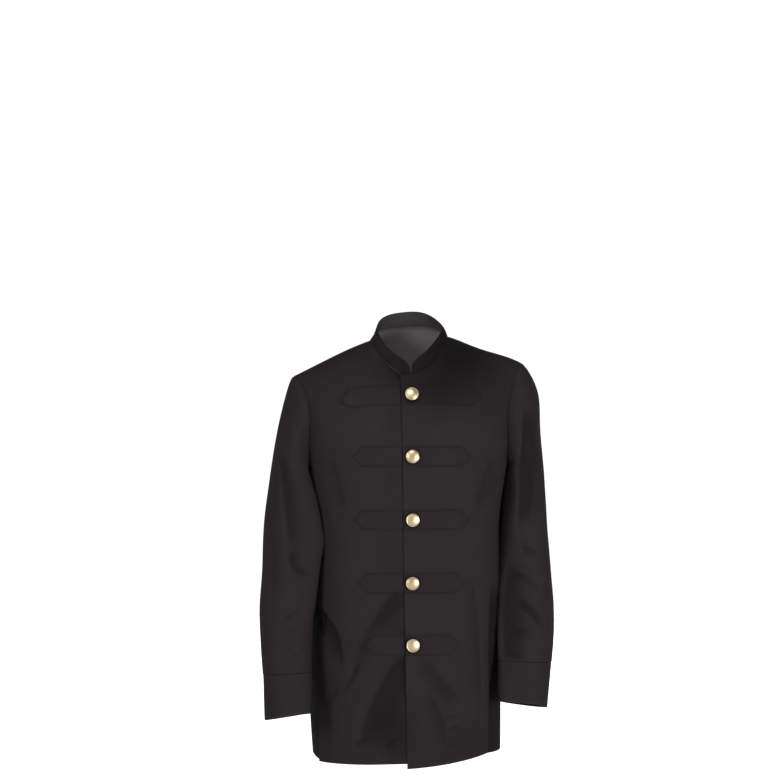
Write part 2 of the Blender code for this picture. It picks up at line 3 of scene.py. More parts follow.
import bpy
import numpy as np
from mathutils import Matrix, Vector


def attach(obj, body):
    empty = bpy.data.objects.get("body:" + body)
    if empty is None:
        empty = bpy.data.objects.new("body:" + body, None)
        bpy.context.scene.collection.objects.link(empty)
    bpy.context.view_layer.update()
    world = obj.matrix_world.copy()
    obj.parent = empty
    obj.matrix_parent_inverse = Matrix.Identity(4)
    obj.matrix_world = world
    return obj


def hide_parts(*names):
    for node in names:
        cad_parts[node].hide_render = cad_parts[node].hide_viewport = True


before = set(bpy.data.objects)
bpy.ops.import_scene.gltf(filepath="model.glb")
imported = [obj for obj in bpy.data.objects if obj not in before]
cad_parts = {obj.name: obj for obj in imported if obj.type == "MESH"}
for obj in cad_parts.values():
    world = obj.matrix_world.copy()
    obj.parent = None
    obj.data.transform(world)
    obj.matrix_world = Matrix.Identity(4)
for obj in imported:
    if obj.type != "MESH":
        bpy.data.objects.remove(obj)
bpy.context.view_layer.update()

MM = 0.001
DEGREE = math.pi / 180
QUARTER = math.pi / 2

# Back. One piece of black twill, cut to the side seams, the armholes and the neckline. Below
# the vents its edges reach forward under the fronts. All the body's pieces lie on one surface.

CLOTH = 1.5 * MM
CHEST_Z = -0.165
PANEL_RISE = 0.205
UNDERARM_LEVEL = -0.075
HEM_BACK = -0.792
HEM_SIDE = {"left": -0.786, "right": -0.804}
NECK_HALF_WIDTH = 0.075
NECK_PIT_DEPTH = 0.087
NAPE_DEPTH = 0.064
NAPE_RISE = 0.046
NAPE_FADE = (0.05, 0.14)
NECK_SIDE = {"left": 0.008, "right": 0.002}
SHOULDER_HALF_WIDTH = 0.219
SHOULDER_SPREAD = 0.11
SHOULDER_TURN = 0.08
SHOULDER_DROP = {"left": 0.056, "right": 0.073}
FRONT_ROUNDING = 1.2
BACK_ROUNDING = 0.85
VENT_TOP = -0.510
VENT_UNDERLAP = 0.030
VENT_GAP = 1.8 * MM
VENT_BLEND = 6 * MM
VENT_FADE = (0.006, 0.034)
VENT_SHARES = (0.55, 0.82)
# Painted shade on the back below the vents: how dark, over which share of the width, and how far up it
# fades
VENT_DARK = 0.55
VENT_DARK_SHARES = (0.58, 0.70)
VENT_DARK_RISE = 0.05
PANEL_ROWS = 270
BACK_COLUMNS = 164
SEAM_SAMPLES = 200
ARMHOLE_SAMPLES = 61
NECK_SAMPLES = 80
NECK_ROUNDS = 30
SIDE_BLEND = 0.05
EDGE_STEPS = 4
EASE_ROUNDS = 70
NECKLINE_FADE = (0.95, 0.99)
FOLD_STEPS = 22
FOLD_TURN = 3 * MM
FOLD_ENDS = 0.28
# How much painted shade darkens the hollows of folds and over which depths, and the heights over which
# fold tops are lightened a little, partly as wear and partly as a painted highlight
HOLLOW_DARK = 0.42
HOLLOW_DEPTHS = (0.5 * MM, 7 * MM)
RIDGE_HEIGHTS = (0.1 * MM, 2.5 * MM)
BACK_WAVES = 1.3


def table(names, *rows):
    """Named columns from rows of numbers."""
    return dict(zip(names.split(), np.array(rows, float).T))


# Level sections of the body, hem to chest: squareness 2 is an ellipse
TORSO = table(
    "height half_width front_depth back_depth squareness",
    (-0.830, 0.181, 0.137, 0.118, 2.5),
    (-0.740, 0.182, 0.136, 0.121, 2.5),
    (-0.640, 0.182, 0.133, 0.120, 2.5),
    (-0.540, 0.1815, 0.127, 0.114, 2.5),
    (-0.440, 0.1775, 0.122, 0.108, 2.4),
    (-0.340, 0.1785, 0.123, 0.110, 2.4),
    (-0.240, 0.193, 0.124, 0.117, 2.4),
    (-0.165, 0.200, 0.119, 0.120, 2.5),
)
SIDE_SEAM = {
    "left": table(
        "height angle", (-0.830, 50), (-0.640, 50.5), (-0.510, 53), (-0.380, 72), (-0.240, 90)
    ),
    "right": table(
        "height angle", (-0.830, 70), (-0.640, 70), (-0.510, 73), (-0.380, 82), (-0.240, 90)
    ),
}
ARMHOLE_FRONT = table(
    "angle level",
    (90, -0.075),
    (82, -0.071),
    (75, -0.052),
    (70, -0.020),
    (68, 0.020),
    (68.5, 0.065),
    (70.5, 0.110),
    (74.5, 0.160),
    (79, 0.205),
)
ARMHOLE_BACK = table(
    "angle level",
    (90, -0.075),
    (83, -0.070),
    (76, -0.048),
    (72, -0.012),
    (71, 0.030),
    (71, 0.075),
    (72.5, 0.120),
    (75.5, 0.165),
    (79, 0.205),
)


def folds(*rows):
    """A row for each fold, in millimetres: four points of its line, its reach to the left and
    right of it, and its depth."""
    return table("x0 z0 x1 z1 x2 z2 x3 z3 left right depth", *np.array(rows, float) * MM)


BACK_FOLDS = folds(
    (140, -120, 112, -190, 85, -260, 70, -330, 8, 26, 4.5),
    (-145, -115, -120, -190, -90, -270, -70, -350, 28, 8, 5),
    (175, -345, 130, -372, 85, -388, 30, -394, 6, 14, 3.6),
    (-175, -352, -130, -378, -85, -392, -40, -398, 13, 6, 3.6),
    (175, -415, 140, -430, 110, -436, 75, -436, 5, 10, 2.4),
    (-60, -420, -78, -500, -95, -590, -98, -680, 8, 30, 5),
    (48, -430, 62, -530, 72, -640, 74, -760, 32, 8, 5.5),
    (-12, -500, -18, -600, -26, -700, -30, -840, 9, 28, 4),
    (120, -500, 128, -590, 132, -690, 128, -840, 7, 24, 4.5),
    (-132, -540, -136, -620, -134, -710, -126, -830, 22, 7, 4),
    (26, -50, 40, -62, 52, -73, 64, -82, 3, 9, 1.8),
    (-30, -53, -42, -66, -52, -77, -62, -86, 9, 3, 1.6),
)
# Where the cloth stands off the even form: a place, how far it goes, and its reach across and up
SETTLED = table(
    "x y z dx dy dz across up",
    (0.250, 0.000, -0.100, 0.0065, 0.000, 0.0015, 0.060, 0.045),
    (0.195, 0.000, -0.045, 0.0010, 0.000, 0.0050, 0.045, 0.035),
    (-0.072, 0.000, 0.015, 0.0085, 0.000, 0.000, 0.045, 0.045),
    (0.074, 0.000, 0.015, 0.0045, 0.000, 0.000, 0.045, 0.045),
    (-0.190, 0.030, -0.630, -0.0120, 0.000, 0.000, 0.055, 0.150),
)


def settled(points):
    """The points, each moved by the pushes of SETTLED: a bell over the distance to its place."""
    moved = points.copy()
    for x, y, z, dx, dy, dz, across, up in zip(*SETTLED.values()):
        off = points - [x, y, z]
        far = (off[..., 0] ** 2 + off[..., 1] ** 2) / across**2 + (off[..., 2] / up) ** 2
        moved += np.exp(-far)[..., None] * [dx, dy, dz]
    return moved


def hermite(t, start, leave, end, arrive):
    """Cubic curve from start to end over t from 0 to 1, with the slopes leave and arrive."""
    first = (2 * t**3 - 3 * t**2 + 1) * start + (t**3 - 2 * t**2 + t) * leave
    return first + (3 * t**2 - 2 * t**3) * end + (t**3 - t**2) * arrive


def through(stations, values, at):
    """Smooth curve through the values: cubic Hermite with the mean slope at each station."""
    slopes = np.gradient(values, stations)
    at = np.clip(at, stations[0], stations[-1])
    i = np.clip(np.searchsorted(stations, at, side="right") - 1, 0, len(stations) - 2)
    span = stations[i + 1] - stations[i]
    t = (at - stations[i]) / span
    return hermite(t, values[i], span * slopes[i], values[i + 1], span * slopes[i + 1])


def fade(value, start, end):
    """0 at the start, 1 at the end, with a smooth step between."""
    t = np.clip((value - start) / (end - start), 0, 1)
    return t * t * (3 - 2 * t)


def signed_power(value, power):
    return np.sign(value) * np.abs(value) ** power


def unit(vectors):
    return vectors / np.linalg.norm(vectors, axis=-1, keepdims=True)


def body_section(height):
    """Half width, front depth, back depth and the power of the level section at a height."""
    columns = ("half_width", "front_depth", "back_depth", "squareness")
    wide, front, back, square = (through(TORSO["height"], TORSO[c], height) for c in columns)
    return wide, front, back, 2 / square


def by_side(values, x):
    """The value for the wearer's left or right, blended over the middle."""
    left = fade(x, -SIDE_BLEND, SIDE_BLEND)
    return values["right"] * (1 - left) + values["left"] * left


def shoulder_line(x, level, front):
    """Height of the shoulder over x: level inside the neck, where the back rises to the nape,
    then a straight fall to the shoulder point, with a soft turn between the two."""
    share = (np.abs(x) - NECK_HALF_WIDTH) / (SHOULDER_HALF_WIDTH - NECK_HALF_WIDTH)
    share = (share + np.sqrt(share**2 + SHOULDER_TURN**2)) / 2
    arch = np.clip(1 - (x / NECK_HALF_WIDTH) ** 2, 0, 1) ** 0.75
    nape = np.where(front, 0.0, NAPE_RISE * arch * fade(level, *NAPE_FADE))
    return by_side(NECK_SIDE, x) + nape - by_side(SHOULDER_DROP, x) * share


def torso(angle, level):
    """Outer surface of the body.

    The angle runs round from the centre front, a quarter turn at the side. The level is metres
    up the panel from the chest line. Up to there each level section is a squared ellipse. Above
    it the section leans in along a quarter ellipse and reaches the shoulder at PANEL_RISE.
    """
    height = CHEST_Z + np.minimum(level, 0)
    turn = np.clip(level / PANEL_RISE, 0, 1) * QUARTER
    wide, front_depth, back_depth, power = body_section(height)
    front = np.cos(angle) > 0
    rounding = np.where(front, FRONT_ROUNDING, BACK_ROUNDING)
    depth = np.where(front, front_depth, back_depth)
    x = wide * (1 + SHOULDER_SPREAD * np.sin(turn) ** 2) * signed_power(np.sin(angle), power)
    y = -depth * signed_power(np.cos(angle), power) * np.abs(np.cos(turn)) ** rounding
    z = height + (shoulder_line(x, level, front) - CHEST_Z) * np.sin(turn) ** rounding
    return np.stack([x, y, z], -1)


def outward(angle, level):
    """Unit normal of the body, from the surface a small step either way."""
    step = 0.002
    low = np.minimum(level, PANEL_RISE - 2 * step)
    around = torso(angle + step, low) - torso(angle - step, low)
    up = torso(angle, low + step) - torso(angle, low - step)
    return unit(np.cross(around, up))


def angle_at(x, level):
    """Angle of the point on the front that has this x."""
    height = CHEST_Z + np.minimum(level, 0)
    turn = np.clip(level / PANEL_RISE, 0, 1) * QUARTER
    wide, _, _, power = body_section(height)
    ratio = np.clip(x / (wide * (1 + SHOULDER_SPREAD * np.sin(turn) ** 2)), -1, 1)
    return np.arcsin(signed_power(ratio, 1 / power))


def run_of(points):
    """Metres along a path, at each of its points."""
    return np.concatenate([[0], np.cumsum(np.linalg.norm(np.diff(points, axis=0), axis=1))])


def at_runs(at, run, values):
    """The values of a path's points, taken again at other distances along it."""
    return np.stack([np.interp(at, run, column) for column in values.T], -1)


def even_steps(path, count):
    """The path of (angle, level) again, as count points at equal distances on the body."""
    run = run_of(torso(path[:, 0], path[:, 1]))
    return at_runs(np.linspace(0, run[-1], count), run, path)


def neckline(round_neck, back=False):
    """Left half of the neckline, a half ellipse seen from above: 0 is the centre front or the
    nape, a quarter turn is the shoulder seam. The level is found by going back and forth."""
    x = NECK_HALF_WIDTH * np.sin(round_neck)
    y = (NAPE_DEPTH if back else NECK_PIT_DEPTH) * np.cos(round_neck)
    rounding = BACK_ROUNDING if back else FRONT_ROUNDING
    _, front_depth, back_depth, power = body_section(np.float64(CHEST_Z))
    depth = back_depth if back else front_depth
    level = np.full_like(x, PANEL_RISE / 2)
    for _ in range(NECK_ROUNDS):
        angle = angle_at(x, level)
        share = np.clip(y / (depth * np.cos(angle) ** power), 0, 1)
        level = np.arccos(share ** (1 / rounding)) / QUARTER * PANEL_RISE
    return np.stack([math.pi - angle if back else angle, level], -1)


def armhole(back=False):
    """Left armhole edge of the front or the back, from the underarm to the shoulder point."""
    edge = ARMHOLE_BACK if back else ARMHOLE_FRONT
    rows = np.arange(len(edge["angle"]), dtype=float)
    at = np.linspace(0, rows[-1], ARMHOLE_SAMPLES)
    angle = through(rows, edge["angle"], at) * DEGREE
    return np.stack([math.pi - angle if back else angle, through(rows, edge["level"], at)], -1)


def side_edge(side, back=False):
    """Left-hand outer edge of a panel: up the side seam, then round the armhole. Below the vent
    the back's edge lies further forward by its underlap."""
    level = np.linspace(HEM_SIDE[side] - CHEST_Z, UNDERARM_LEVEL, SEAM_SAMPLES)
    height = level + CHEST_Z
    seam = SIDE_SEAM[side]
    angle = through(seam["height"], seam["angle"], height) * DEGREE
    if back:
        below_vent = 1 - fade(height, VENT_TOP - VENT_BLEND, VENT_TOP + VENT_BLEND)
        angle = angle - below_vent * VENT_UNDERLAP / body_section(np.float64(HEM_BACK))[0]
    seam_path = np.stack([angle, level], -1)
    return even_steps(np.concatenate([seam_path, armhole(back)[1:]]), PANEL_ROWS)


def patch(bottom, top, left, right):
    """Grid inside four edges that meet at their corners: the blend from left to right, plus the
    blend from bottom to top, less the blend of the corners."""
    v = np.linspace(0, 1, len(left))[:, None, None]
    u = np.linspace(0, 1, len(bottom))[None, :, None]
    across = left[:, None] * (1 - u) + right[:, None] * u
    upwards = bottom[None] * (1 - v) + top[None] * v
    low = bottom[0] * (1 - u) + bottom[-1] * u
    high = top[0] * (1 - u) + top[-1] * u
    return across + upwards - low * (1 - v) - high * v


def eased(grid):
    """The grid with each inner point at the mean of its four neighbours, EASE_ROUNDS times over, so
    that the corner between the neckline and the shoulder seam doesn't run on down a column."""
    for _ in range(EASE_ROUNDS):
        beside = grid[1:-1, :-2] + grid[1:-1, 2:]
        grid[1:-1, 1:-1] = (beside + grid[:-2, 1:-1] + grid[2:, 1:-1]) / 4
    return grid


def at_neckline(rows):
    """1 at the last of the rows, the neckline, fading out over the rows just below it."""
    return fade(np.linspace(0, 1, rows)[:, None], *NECKLINE_FADE)


def fold_depth(x, z, folds):
    """How deep the folds lie, on a view along Y.

    A fold's line is a smooth curve through its four points. Across it the section is a bell,
    narrow on one side and wide on the other, so the cloth seems to turn over there. It dies
    out towards both ends.
    """
    total = np.zeros_like(x)
    steps = np.linspace(0, 3, FOLD_STEPS)
    for x0, z0, x1, z1, x2, z2, x3, z3, left, right, depth in zip(*folds.values()):
        line_x = through(np.arange(4.0), np.array([x0, x1, x2, x3]), steps)
        line_z = through(np.arange(4.0), np.array([z0, z1, z2, z3]), steps)
        nearest = np.full_like(x, np.inf)
        side = np.zeros_like(x)
        along = np.zeros_like(x)
        for k in range(len(steps) - 1):
            dx, dz = line_x[k + 1] - line_x[k], line_z[k + 1] - line_z[k]
            length = math.hypot(dx, dz)
            part = np.clip(((x - line_x[k]) * dx + (z - line_z[k]) * dz) / length**2, 0, 1)
            off_x, off_z = x - line_x[k] - part * dx, z - line_z[k] - part * dz
            far = np.hypot(off_x, off_z)
            closer = far < nearest
            nearest = np.where(closer, far, nearest)
            side = np.where(closer, off_x * dz - off_z * dx, side)
            along = np.where(closer, (k + part) / (len(steps) - 1), along)
        blunt = fade(side / (0.5 * (left + right) * FOLD_TURN), -1, 1)
        reach = left + (right - left) * blunt
        ends = fade(along, 0, FOLD_ENDS) * (1 - fade(along, 1 - FOLD_ENDS, 1))
        total += depth * ends * np.exp(-((nearest / reach) ** 2))
    return total


# Painted shade, darker cloth colour where shade falls: beside the collar, mostly on the left, and low
# on both fronts
PAINTED_SHADE_SPOTS = table(
    "x y z reach share",
    (0.095, -0.050, -0.030, 0.085, 0.68),
    (0.050, -0.105, -0.080, 0.065, 0.42),
    (-0.030, -0.080, -0.050, 0.045, 0.30),
    (0.070, 0.040, 0.000, 0.080, 0.20),
    (-0.038, -0.135, -0.735, 0.048, 0.34),
    (0.095, -0.120, -0.770, 0.050, 0.18),
)


def painted_shade(points):
    """1, less a share of painted shade in a soft ball round each place of the table above."""
    tone = np.ones(points.shape[:2])
    for x, y, z, reach, share in zip(*PAINTED_SHADE_SPOTS.values()):
        off = np.linalg.norm(points - [x, y, z], axis=-1)
        tone *= 1 - share * np.exp(-((off / reach) ** 2))
    return tone


def unevenness(x, z, shift):
    """Slow waves of a fraction of a millimetre, as on cloth that was pressed and has since seen wear.
    """
    waves = np.sin(52 * x + 23 * z + shift) + np.sin(-37 * x + 41 * z + 2.1 * shift)
    waves += 0.6 * np.sin(88 * x - 61 * z + 3.7 * shift)
    return 0.35 * MM * waves


def grid_normals(points, closed):
    """Unit normals of a grid, from its steps along the rows and up the columns."""
    if closed:
        along = np.roll(points, -1, axis=1) - np.roll(points, 1, axis=1)
    else:
        along = np.gradient(points, axis=1)
    return unit(np.cross(along, np.gradient(points, axis=0)))


def grid_quads(rows, columns, closed):
    wide = columns if closed else columns - 1
    row, column = np.meshgrid(np.arange(rows - 1), np.arange(wide), indexing="ij")
    a = row * columns + column
    b = row * columns + (column + 1) % columns
    return np.stack([a, b, b + columns, a + columns], -1).reshape(-1, 4)


def cut_lengths(points, closed):
    """Metres along each row and up the columns, as the cloth lay when it was cut."""
    ring = np.concatenate([points, points[:, :1]], 1) if closed else points
    along = np.linalg.norm(np.diff(ring, axis=1), axis=2)
    u = np.concatenate([np.zeros((len(points), 1)), np.cumsum(along, axis=1)], 1)
    up = np.linalg.norm(np.diff(points, axis=0), axis=2).mean(axis=1)
    v = np.concatenate([[0], np.cumsum(up)])
    return u, np.broadcast_to(v[:, None], u.shape)


def marks_of(points, inward, edge, more_shade=1.0):
    """The marks that the twill's finish reads: turned edges, the tops of folds, and the painted shade,
    which is deeper in the hollows of folds."""
    hollow = 1 - HOLLOW_DARK * fade(inward, *HOLLOW_DEPTHS)
    return {
        "edge": edge,
        "ridge": fade(-inward, *RIDGE_HEIGHTS),
        "painted_shade": painted_shade(points) * more_shade * hollow,
    }


def new_piece(name, points, faces, finish):
    """A smooth-shaded piece that rides with the jacket and takes a finish of the record."""
    mesh = bpy.data.meshes.new(name)
    mesh.from_pydata(points.tolist(), [], faces)
    mesh.materials.append(finish)
    mesh.shade_smooth()
    piece = bpy.data.objects.new(name, mesh)
    bpy.context.scene.collection.objects.link(piece)
    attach(piece, "root")
    return piece


def store_mark(piece, name, values):
    """A named value at each point of a piece, which its finish reads."""
    stored = piece.data.attributes.new(name, "FLOAT", "POINT")
    stored.data.foreach_set("value", values.astype(np.float32))


def cloth_piece(
    name, points, thickness, finish, turned=False, closed=False, marks=(), facing=None
):
    """A wall of cloth on a grid of points on its outer face.

    The inner face is the outer one moved in along the normals, which are the grid's own unless
    given as facing. The open edges are drawn back by half the thickness and closed with a half
    round, as on turned cloth. A closed grid is joined round each row. Marks are named values at
    the grid's points, which the finish reads.
    """
    rows, columns = points.shape[:2]
    normals = grid_normals(points, closed) * (-1 if turned else 1) if facing is None else facing
    out = np.zeros_like(points)
    out[0] += unit(points[0] - points[1])
    out[-1] += unit(points[-1] - points[-2])
    index = np.arange(rows * columns).reshape(rows, columns)
    if closed:
        loops = [index[0], index[-1, ::-1]]
    else:
        out[:, 0] += unit(points[:, 0] - points[:, 1])
        out[:, -1] += unit(points[:, -1] - points[:, -2])
        loops = [
            np.concatenate([index[0, :-1], index[:-1, -1], index[-1, :0:-1], index[:0:-1, 0]])
        ]
    outer, normals, out = points.reshape(-1, 3), normals.reshape(-1, 3), out.reshape(-1, 3)
    edge = np.concatenate(loops)
    away = out[edge] - normals[edge] * np.sum(out[edge] * normals[edge], axis=1, keepdims=True)
    out[edge] = unit(away)
    half = thickness / 2
    outer = outer.copy()
    outer[edge] -= out[edge] * half
    inner = outer - normals * thickness
    places, sources = [outer, inner], [np.arange(len(outer))] * 2
    faces = grid_quads(rows, columns, closed)
    quads = [faces, faces[:, ::-1] + len(outer)]
    count = 2 * len(outer)
    for loop in loops:
        rings = [loop]
        for step in range(1, EDGE_STEPS):
            round_edge = math.pi * step / EDGE_STEPS
            middle = outer[loop] - normals[loop] * half
            ring = middle + out[loop] * half * math.sin(round_edge)
            ring = ring + normals[loop] * half * math.cos(round_edge)
            places.append(ring)
            sources.append(loop)
            rings.append(count + np.arange(len(loop)))
            count += len(loop)
        rings.append(loop + len(outer))
        for a, b in zip(rings, rings[1:]):
            quads.append(np.stack([np.roll(a, -1), a, b, np.roll(b, -1)], -1))
    faces = np.concatenate(quads)
    if turned:
        faces = faces[:, ::-1]
    piece = new_piece(name, np.concatenate(places), faces.tolist(), finish)
    source = np.concatenate(sources)
    u, v = cut_lengths(points, closed)
    corner = source[faces]
    flat = np.stack([u[:, :columns].reshape(-1)[corner], v[:, :columns].reshape(-1)[corner]], -1)
    if closed:
        last = (corner % columns == 0) & (corner % columns != corner.max(axis=1)[:, None] % columns)
        wraps = last & (corner.max(axis=1) % columns == columns - 1)[:, None]
        flat[..., 0] = np.where(wraps, u[:, -1][corner // columns], flat[..., 0])
    layer = piece.data.uv_layers.new(name="cut")
    layer.data.foreach_set("uv", flat.reshape(-1).astype(np.float32))
    for mark, values in dict(marks).items():
        store_mark(piece, mark, values.reshape(-1)[source])
    return piece


def shader_group(name, sockets):
    """An empty node group with those inputs and outputs, and its input and output nodes."""
    group = bpy.data.node_groups.new(name, "ShaderNodeTree")
    for way, kind, socket, value in sockets:
        made = group.interface.new_socket(socket, in_out=way, socket_type=f"NodeSocket{kind}")
        if value is not None:
            made.default_value = value
    return group, group.nodes.new("NodeGroupInput"), group.nodes.new("NodeGroupOutput")


def link(tree, *pairs):
    for start, end in pairs:
        tree.links.new(start, end)


def maths(tree, operation, *values):
    """A Math node on values or sockets, and its result."""
    node = tree.nodes.new("ShaderNodeMath")
    node.operation = operation
    for socket, value in zip(node.inputs, values):
        if isinstance(value, (int, float)):
            socket.default_value = value
        else:
            tree.links.new(value, socket)
    return node.outputs[0]


def blend_colour(tree, share, start, end):
    """The colour between two colours or sockets, by a share of 0 to 1."""
    node = tree.nodes.new("ShaderNodeMix")
    node.data_type = "RGBA"
    colours = [socket for socket in node.inputs if socket.type == "RGBA"]
    for socket, value in ((node.inputs[0], share), (colours[0], start), (colours[1], end)):
        if isinstance(value, bpy.types.NodeSocket):
            tree.links.new(value, socket)
        else:
            socket.default_value = value if socket.type == "VALUE" else (*value, 1)
    return next(socket for socket in node.outputs if socket.type == "RGBA")


def noise(tree, where, scale, detail, roughness=0.5):
    node = tree.nodes.new("ShaderNodeTexNoise")
    node.inputs["Scale"].default_value = scale
    node.inputs["Detail"].default_value = detail
    node.inputs["Roughness"].default_value = roughness
    tree.links.new(where, node.inputs["Vector"])
    return node.outputs[0]


def twill_weave():
    """Twill: ribs at 45 degrees to the cut, each a row of short threads, and a cloudy tone."""
    group, given, result = shader_group(
        "twill_weave",
        [
            ("INPUT", "Vector", "Cut", None),
            ("INPUT", "Float", "Spacing", 0.001),
            ("INPUT", "Color", "Dark", (0, 0, 0, 1)),
            ("INPUT", "Color", "Light", (1, 1, 1, 1)),
            ("OUTPUT", "Color", "Colour", None),
            ("OUTPUT", "Float", "Height", None),
            ("OUTPUT", "Float", "Roughness", None),
        ],
    )
    cut, spacing = given.outputs["Cut"], given.outputs["Spacing"]
    split = group.nodes.new("ShaderNodeSeparateXYZ")
    link(group, (cut, split.inputs[0]))
    u, v = split.outputs[0], split.outputs[1]
    wobble = maths(group, "MULTIPLY", maths(group, "SUBTRACT", noise(group, cut, 90, 2), 0.5), 0.0016)
    across = maths(group, "ADD", maths(group, "ADD", u, v), wobble)
    along = maths(group, "SUBTRACT", u, v)
    turns = maths(group, "MULTIPLY", maths(group, "DIVIDE", across, spacing), 2 * math.pi)
    rib = maths(group, "MULTIPLY_ADD", maths(group, "SINE", turns), 0.5, 0.5)
    threads = maths(group, "MULTIPLY", maths(group, "DIVIDE", along, spacing), 4.4 * math.pi)
    thread = maths(group, "SINE", maths(group, "ADD", threads, maths(group, "MULTIPLY", turns, 0.5)))
    height = maths(group, "MULTIPLY_ADD", thread, 0.16, rib)
    cloud = noise(group, cut, 9, 4, 0.6)
    slub = noise(group, cut, 900, 1)
    share = maths(group, "MULTIPLY_ADD", rib, 0.45, maths(group, "MULTIPLY", cloud, 0.35))
    share = maths(group, "MULTIPLY_ADD", slub, 0.30, share)
    colour = blend_colour(group, share, given.outputs["Dark"], given.outputs["Light"])
    link(
        group,
        (colour, result.inputs["Colour"]),
        (height, result.inputs["Height"]),
        (maths(group, "MULTIPLY_ADD", cloud, -0.22, 0.92), result.inputs["Roughness"]),
    )
    return group


def new_finish(name, sheen, specular):
    """A material whose constants are on its shader, its node tree and the shader."""
    made = bpy.data.materials.new(name)
    made.use_nodes = True
    tree = made.node_tree
    shader = tree.nodes["Principled BSDF"]
    shader.inputs["Sheen Weight"].default_value = sheen
    shader.inputs["Sheen Roughness"].default_value = 0.5
    shader.inputs["Specular IOR Level"].default_value = specular
    return made, tree, shader


def read_mark(tree, name):
    node = tree.nodes.new("ShaderNodeAttribute")
    node.attribute_name = name
    return node.outputs["Fac"]


def woven(tree, weave, spacing):
    """The node of a weave that lies along the cut, at its spacing, and the place on the cut."""
    node = tree.nodes.new("ShaderNodeGroup")
    node.node_tree = weave
    node.inputs["Spacing"].default_value = spacing
    cut = tree.nodes.new("ShaderNodeUVMap")
    cut.uv_map = "cut"
    link(tree, (cut.outputs[0], node.inputs["Cut"]))
    return node, cut.outputs[0]


def add_bump(tree, shader, height, strength, distance):
    bump = tree.nodes.new("ShaderNodeBump")
    bump.inputs["Strength"].default_value = strength
    bump.inputs["Distance"].default_value = distance
    link(tree, (height, bump.inputs["Height"]), (bump.outputs[0], shader.inputs["Normal"]))


def twill_finish(name, dark, light, wear_highlight_colour, weave_depth):
    """Black twill. Its edges are a little lighter with wear, the tops of folds a little lighter as
    part wear and part painted highlight, and the painted shade mark darkens it.
    """
    made, tree, shader = new_finish(name, sheen=0.01, specular=0.10)
    weave, cut = woven(tree, TWILL, RIB_SPACING)
    weave.inputs["Dark"].default_value = (*dark, 1)
    weave.inputs["Light"].default_value = (*light, 1)
    wear_highlight_share = maths(tree, "MULTIPLY_ADD", read_mark(tree, "ridge"), 0.25, read_mark(tree, "edge"))
    patchy = noise(tree, cut, 60, 3)
    wear_highlight_share = maths(tree, "MULTIPLY", wear_highlight_share, maths(tree, "MULTIPLY", patchy, 0.30))
    wear_highlight_share.node.use_clamp = True
    wear_highlight_mixed = blend_colour(tree, wear_highlight_share, weave.outputs["Colour"], wear_highlight_colour)
    # Base colour: the twill, lighter with wear and with a painted highlight, times the painted shade
    # mark
    link(
        tree,
        (blend_colour(tree, read_mark(tree, "painted_shade"), (0, 0, 0), wear_highlight_mixed), shader.inputs["Base Color"]),
        (weave.outputs["Roughness"], shader.inputs["Roughness"]),
    )
    add_bump(tree, shader, weave.outputs["Height"], 0.5, weave_depth)
    return made


RIB_SPACING = 0.9 * MM
TWILL = twill_weave()
black_twill = twill_finish(
    "black_twill",
    dark=(0.0125, 0.0096, 0.0107),
    light=(0.0280, 0.0220, 0.0243),
    wear_highlight_colour=(0.070, 0.060, 0.063),
    weave_depth=0.12 * MM,
)


def edge_mark(points, edges, reach=4 * MM):
    """1 on the named edges of a grid, fading over the reach: first or last row or column."""
    u, v = cut_lengths(points, False)
    away = {
        "first_row": v,
        "last_row": v[-1] - v,
        "first_column": u,
        "last_column": u[:, -1:] - u,
    }
    nearest = np.min([away[edge] for edge in edges], axis=0)
    return np.exp(-nearest / reach)


def vent_sink(height, share):
    """How far the back lies under the fronts, near its edges and below the vents."""
    start, end = VENT_FADE
    below = 1 - fade(height, VENT_TOP + start, VENT_TOP + end)
    return (CLOTH + VENT_GAP) * below * fade(np.abs(share), *VENT_SHARES)


def back_grid():
    """(angle, level) of the back, from the right side edge over the centre back to the left."""
    left, right = side_edge("left", back=True), side_edge("right", back=True)
    right = np.stack([2 * math.pi - right[:, 0], right[:, 1]], -1)
    share = np.linspace(-1, 1, BACK_COLUMNS)
    middle = HEM_BACK - CHEST_Z
    ends = np.where(share < 0, right[0, 1], left[0, 1])
    angle = np.where(
        share < 0,
        math.pi + (right[0, 0] - math.pi) * np.abs(share),
        math.pi + (left[0, 0] - math.pi) * np.abs(share),
    )
    bottom = np.stack([angle, middle + (ends - middle) * share**2], -1)
    neck = neckline(np.linspace(0, QUARTER, NECK_SAMPLES), back=True)
    left_half = np.concatenate([neck, left[-1:]])
    right_half = left_half[::-1].copy()
    right_half[:, 0] = 2 * math.pi - right_half[:, 0]
    top = even_steps(np.concatenate([right_half[:-1], left_half]), BACK_COLUMNS)
    return eased(patch(bottom, top, right, left)), share


def back_inward(x, z):
    """How far the back lies under the body's even surface, at (x, z) of a view along Y."""
    return fold_depth(x, z, BACK_FOLDS) + unevenness(x, z, BACK_WAVES)


def back_points():
    grid, share = back_grid()
    angle, level = grid[..., 0], grid[..., 1]
    place = torso(angle, level)
    x, z = place[..., 0], place[..., 2]
    behind = fade(-np.cos(angle), 0, 0.25)
    inward = back_inward(x, z) * behind * (1 - at_neckline(PANEL_ROWS))
    sink = vent_sink(CHEST_Z + np.minimum(level, 0), share)
    normals = outward(angle, level)
    return settled(place - normals * (inward + sink)[..., None]), inward, normals


def add_back():
    points, inward, normals = back_points()
    share = np.abs(np.linspace(-1, 1, BACK_COLUMNS))
    # Painted shade: below the vents the back is darker near its edges, where it lies under the fronts
    below = 1 - fade(points[..., 2], VENT_TOP, VENT_TOP + VENT_DARK_RISE)
    under = 1 - VENT_DARK * fade(share, *VENT_DARK_SHARES) * below
    marks = marks_of(points, inward, edge_mark(points, ["first_row"]), under)
    piece = cloth_piece(
        "jacket_back", points, CLOTH, black_twill, True, marks=marks, facing=normals
    )
    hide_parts("back")


add_back()

# Fronts. The left front lies over the right one and carries the buttonholes. The right front
# passes under it. Both are free below the vents, and turned under at the front edge and hem.

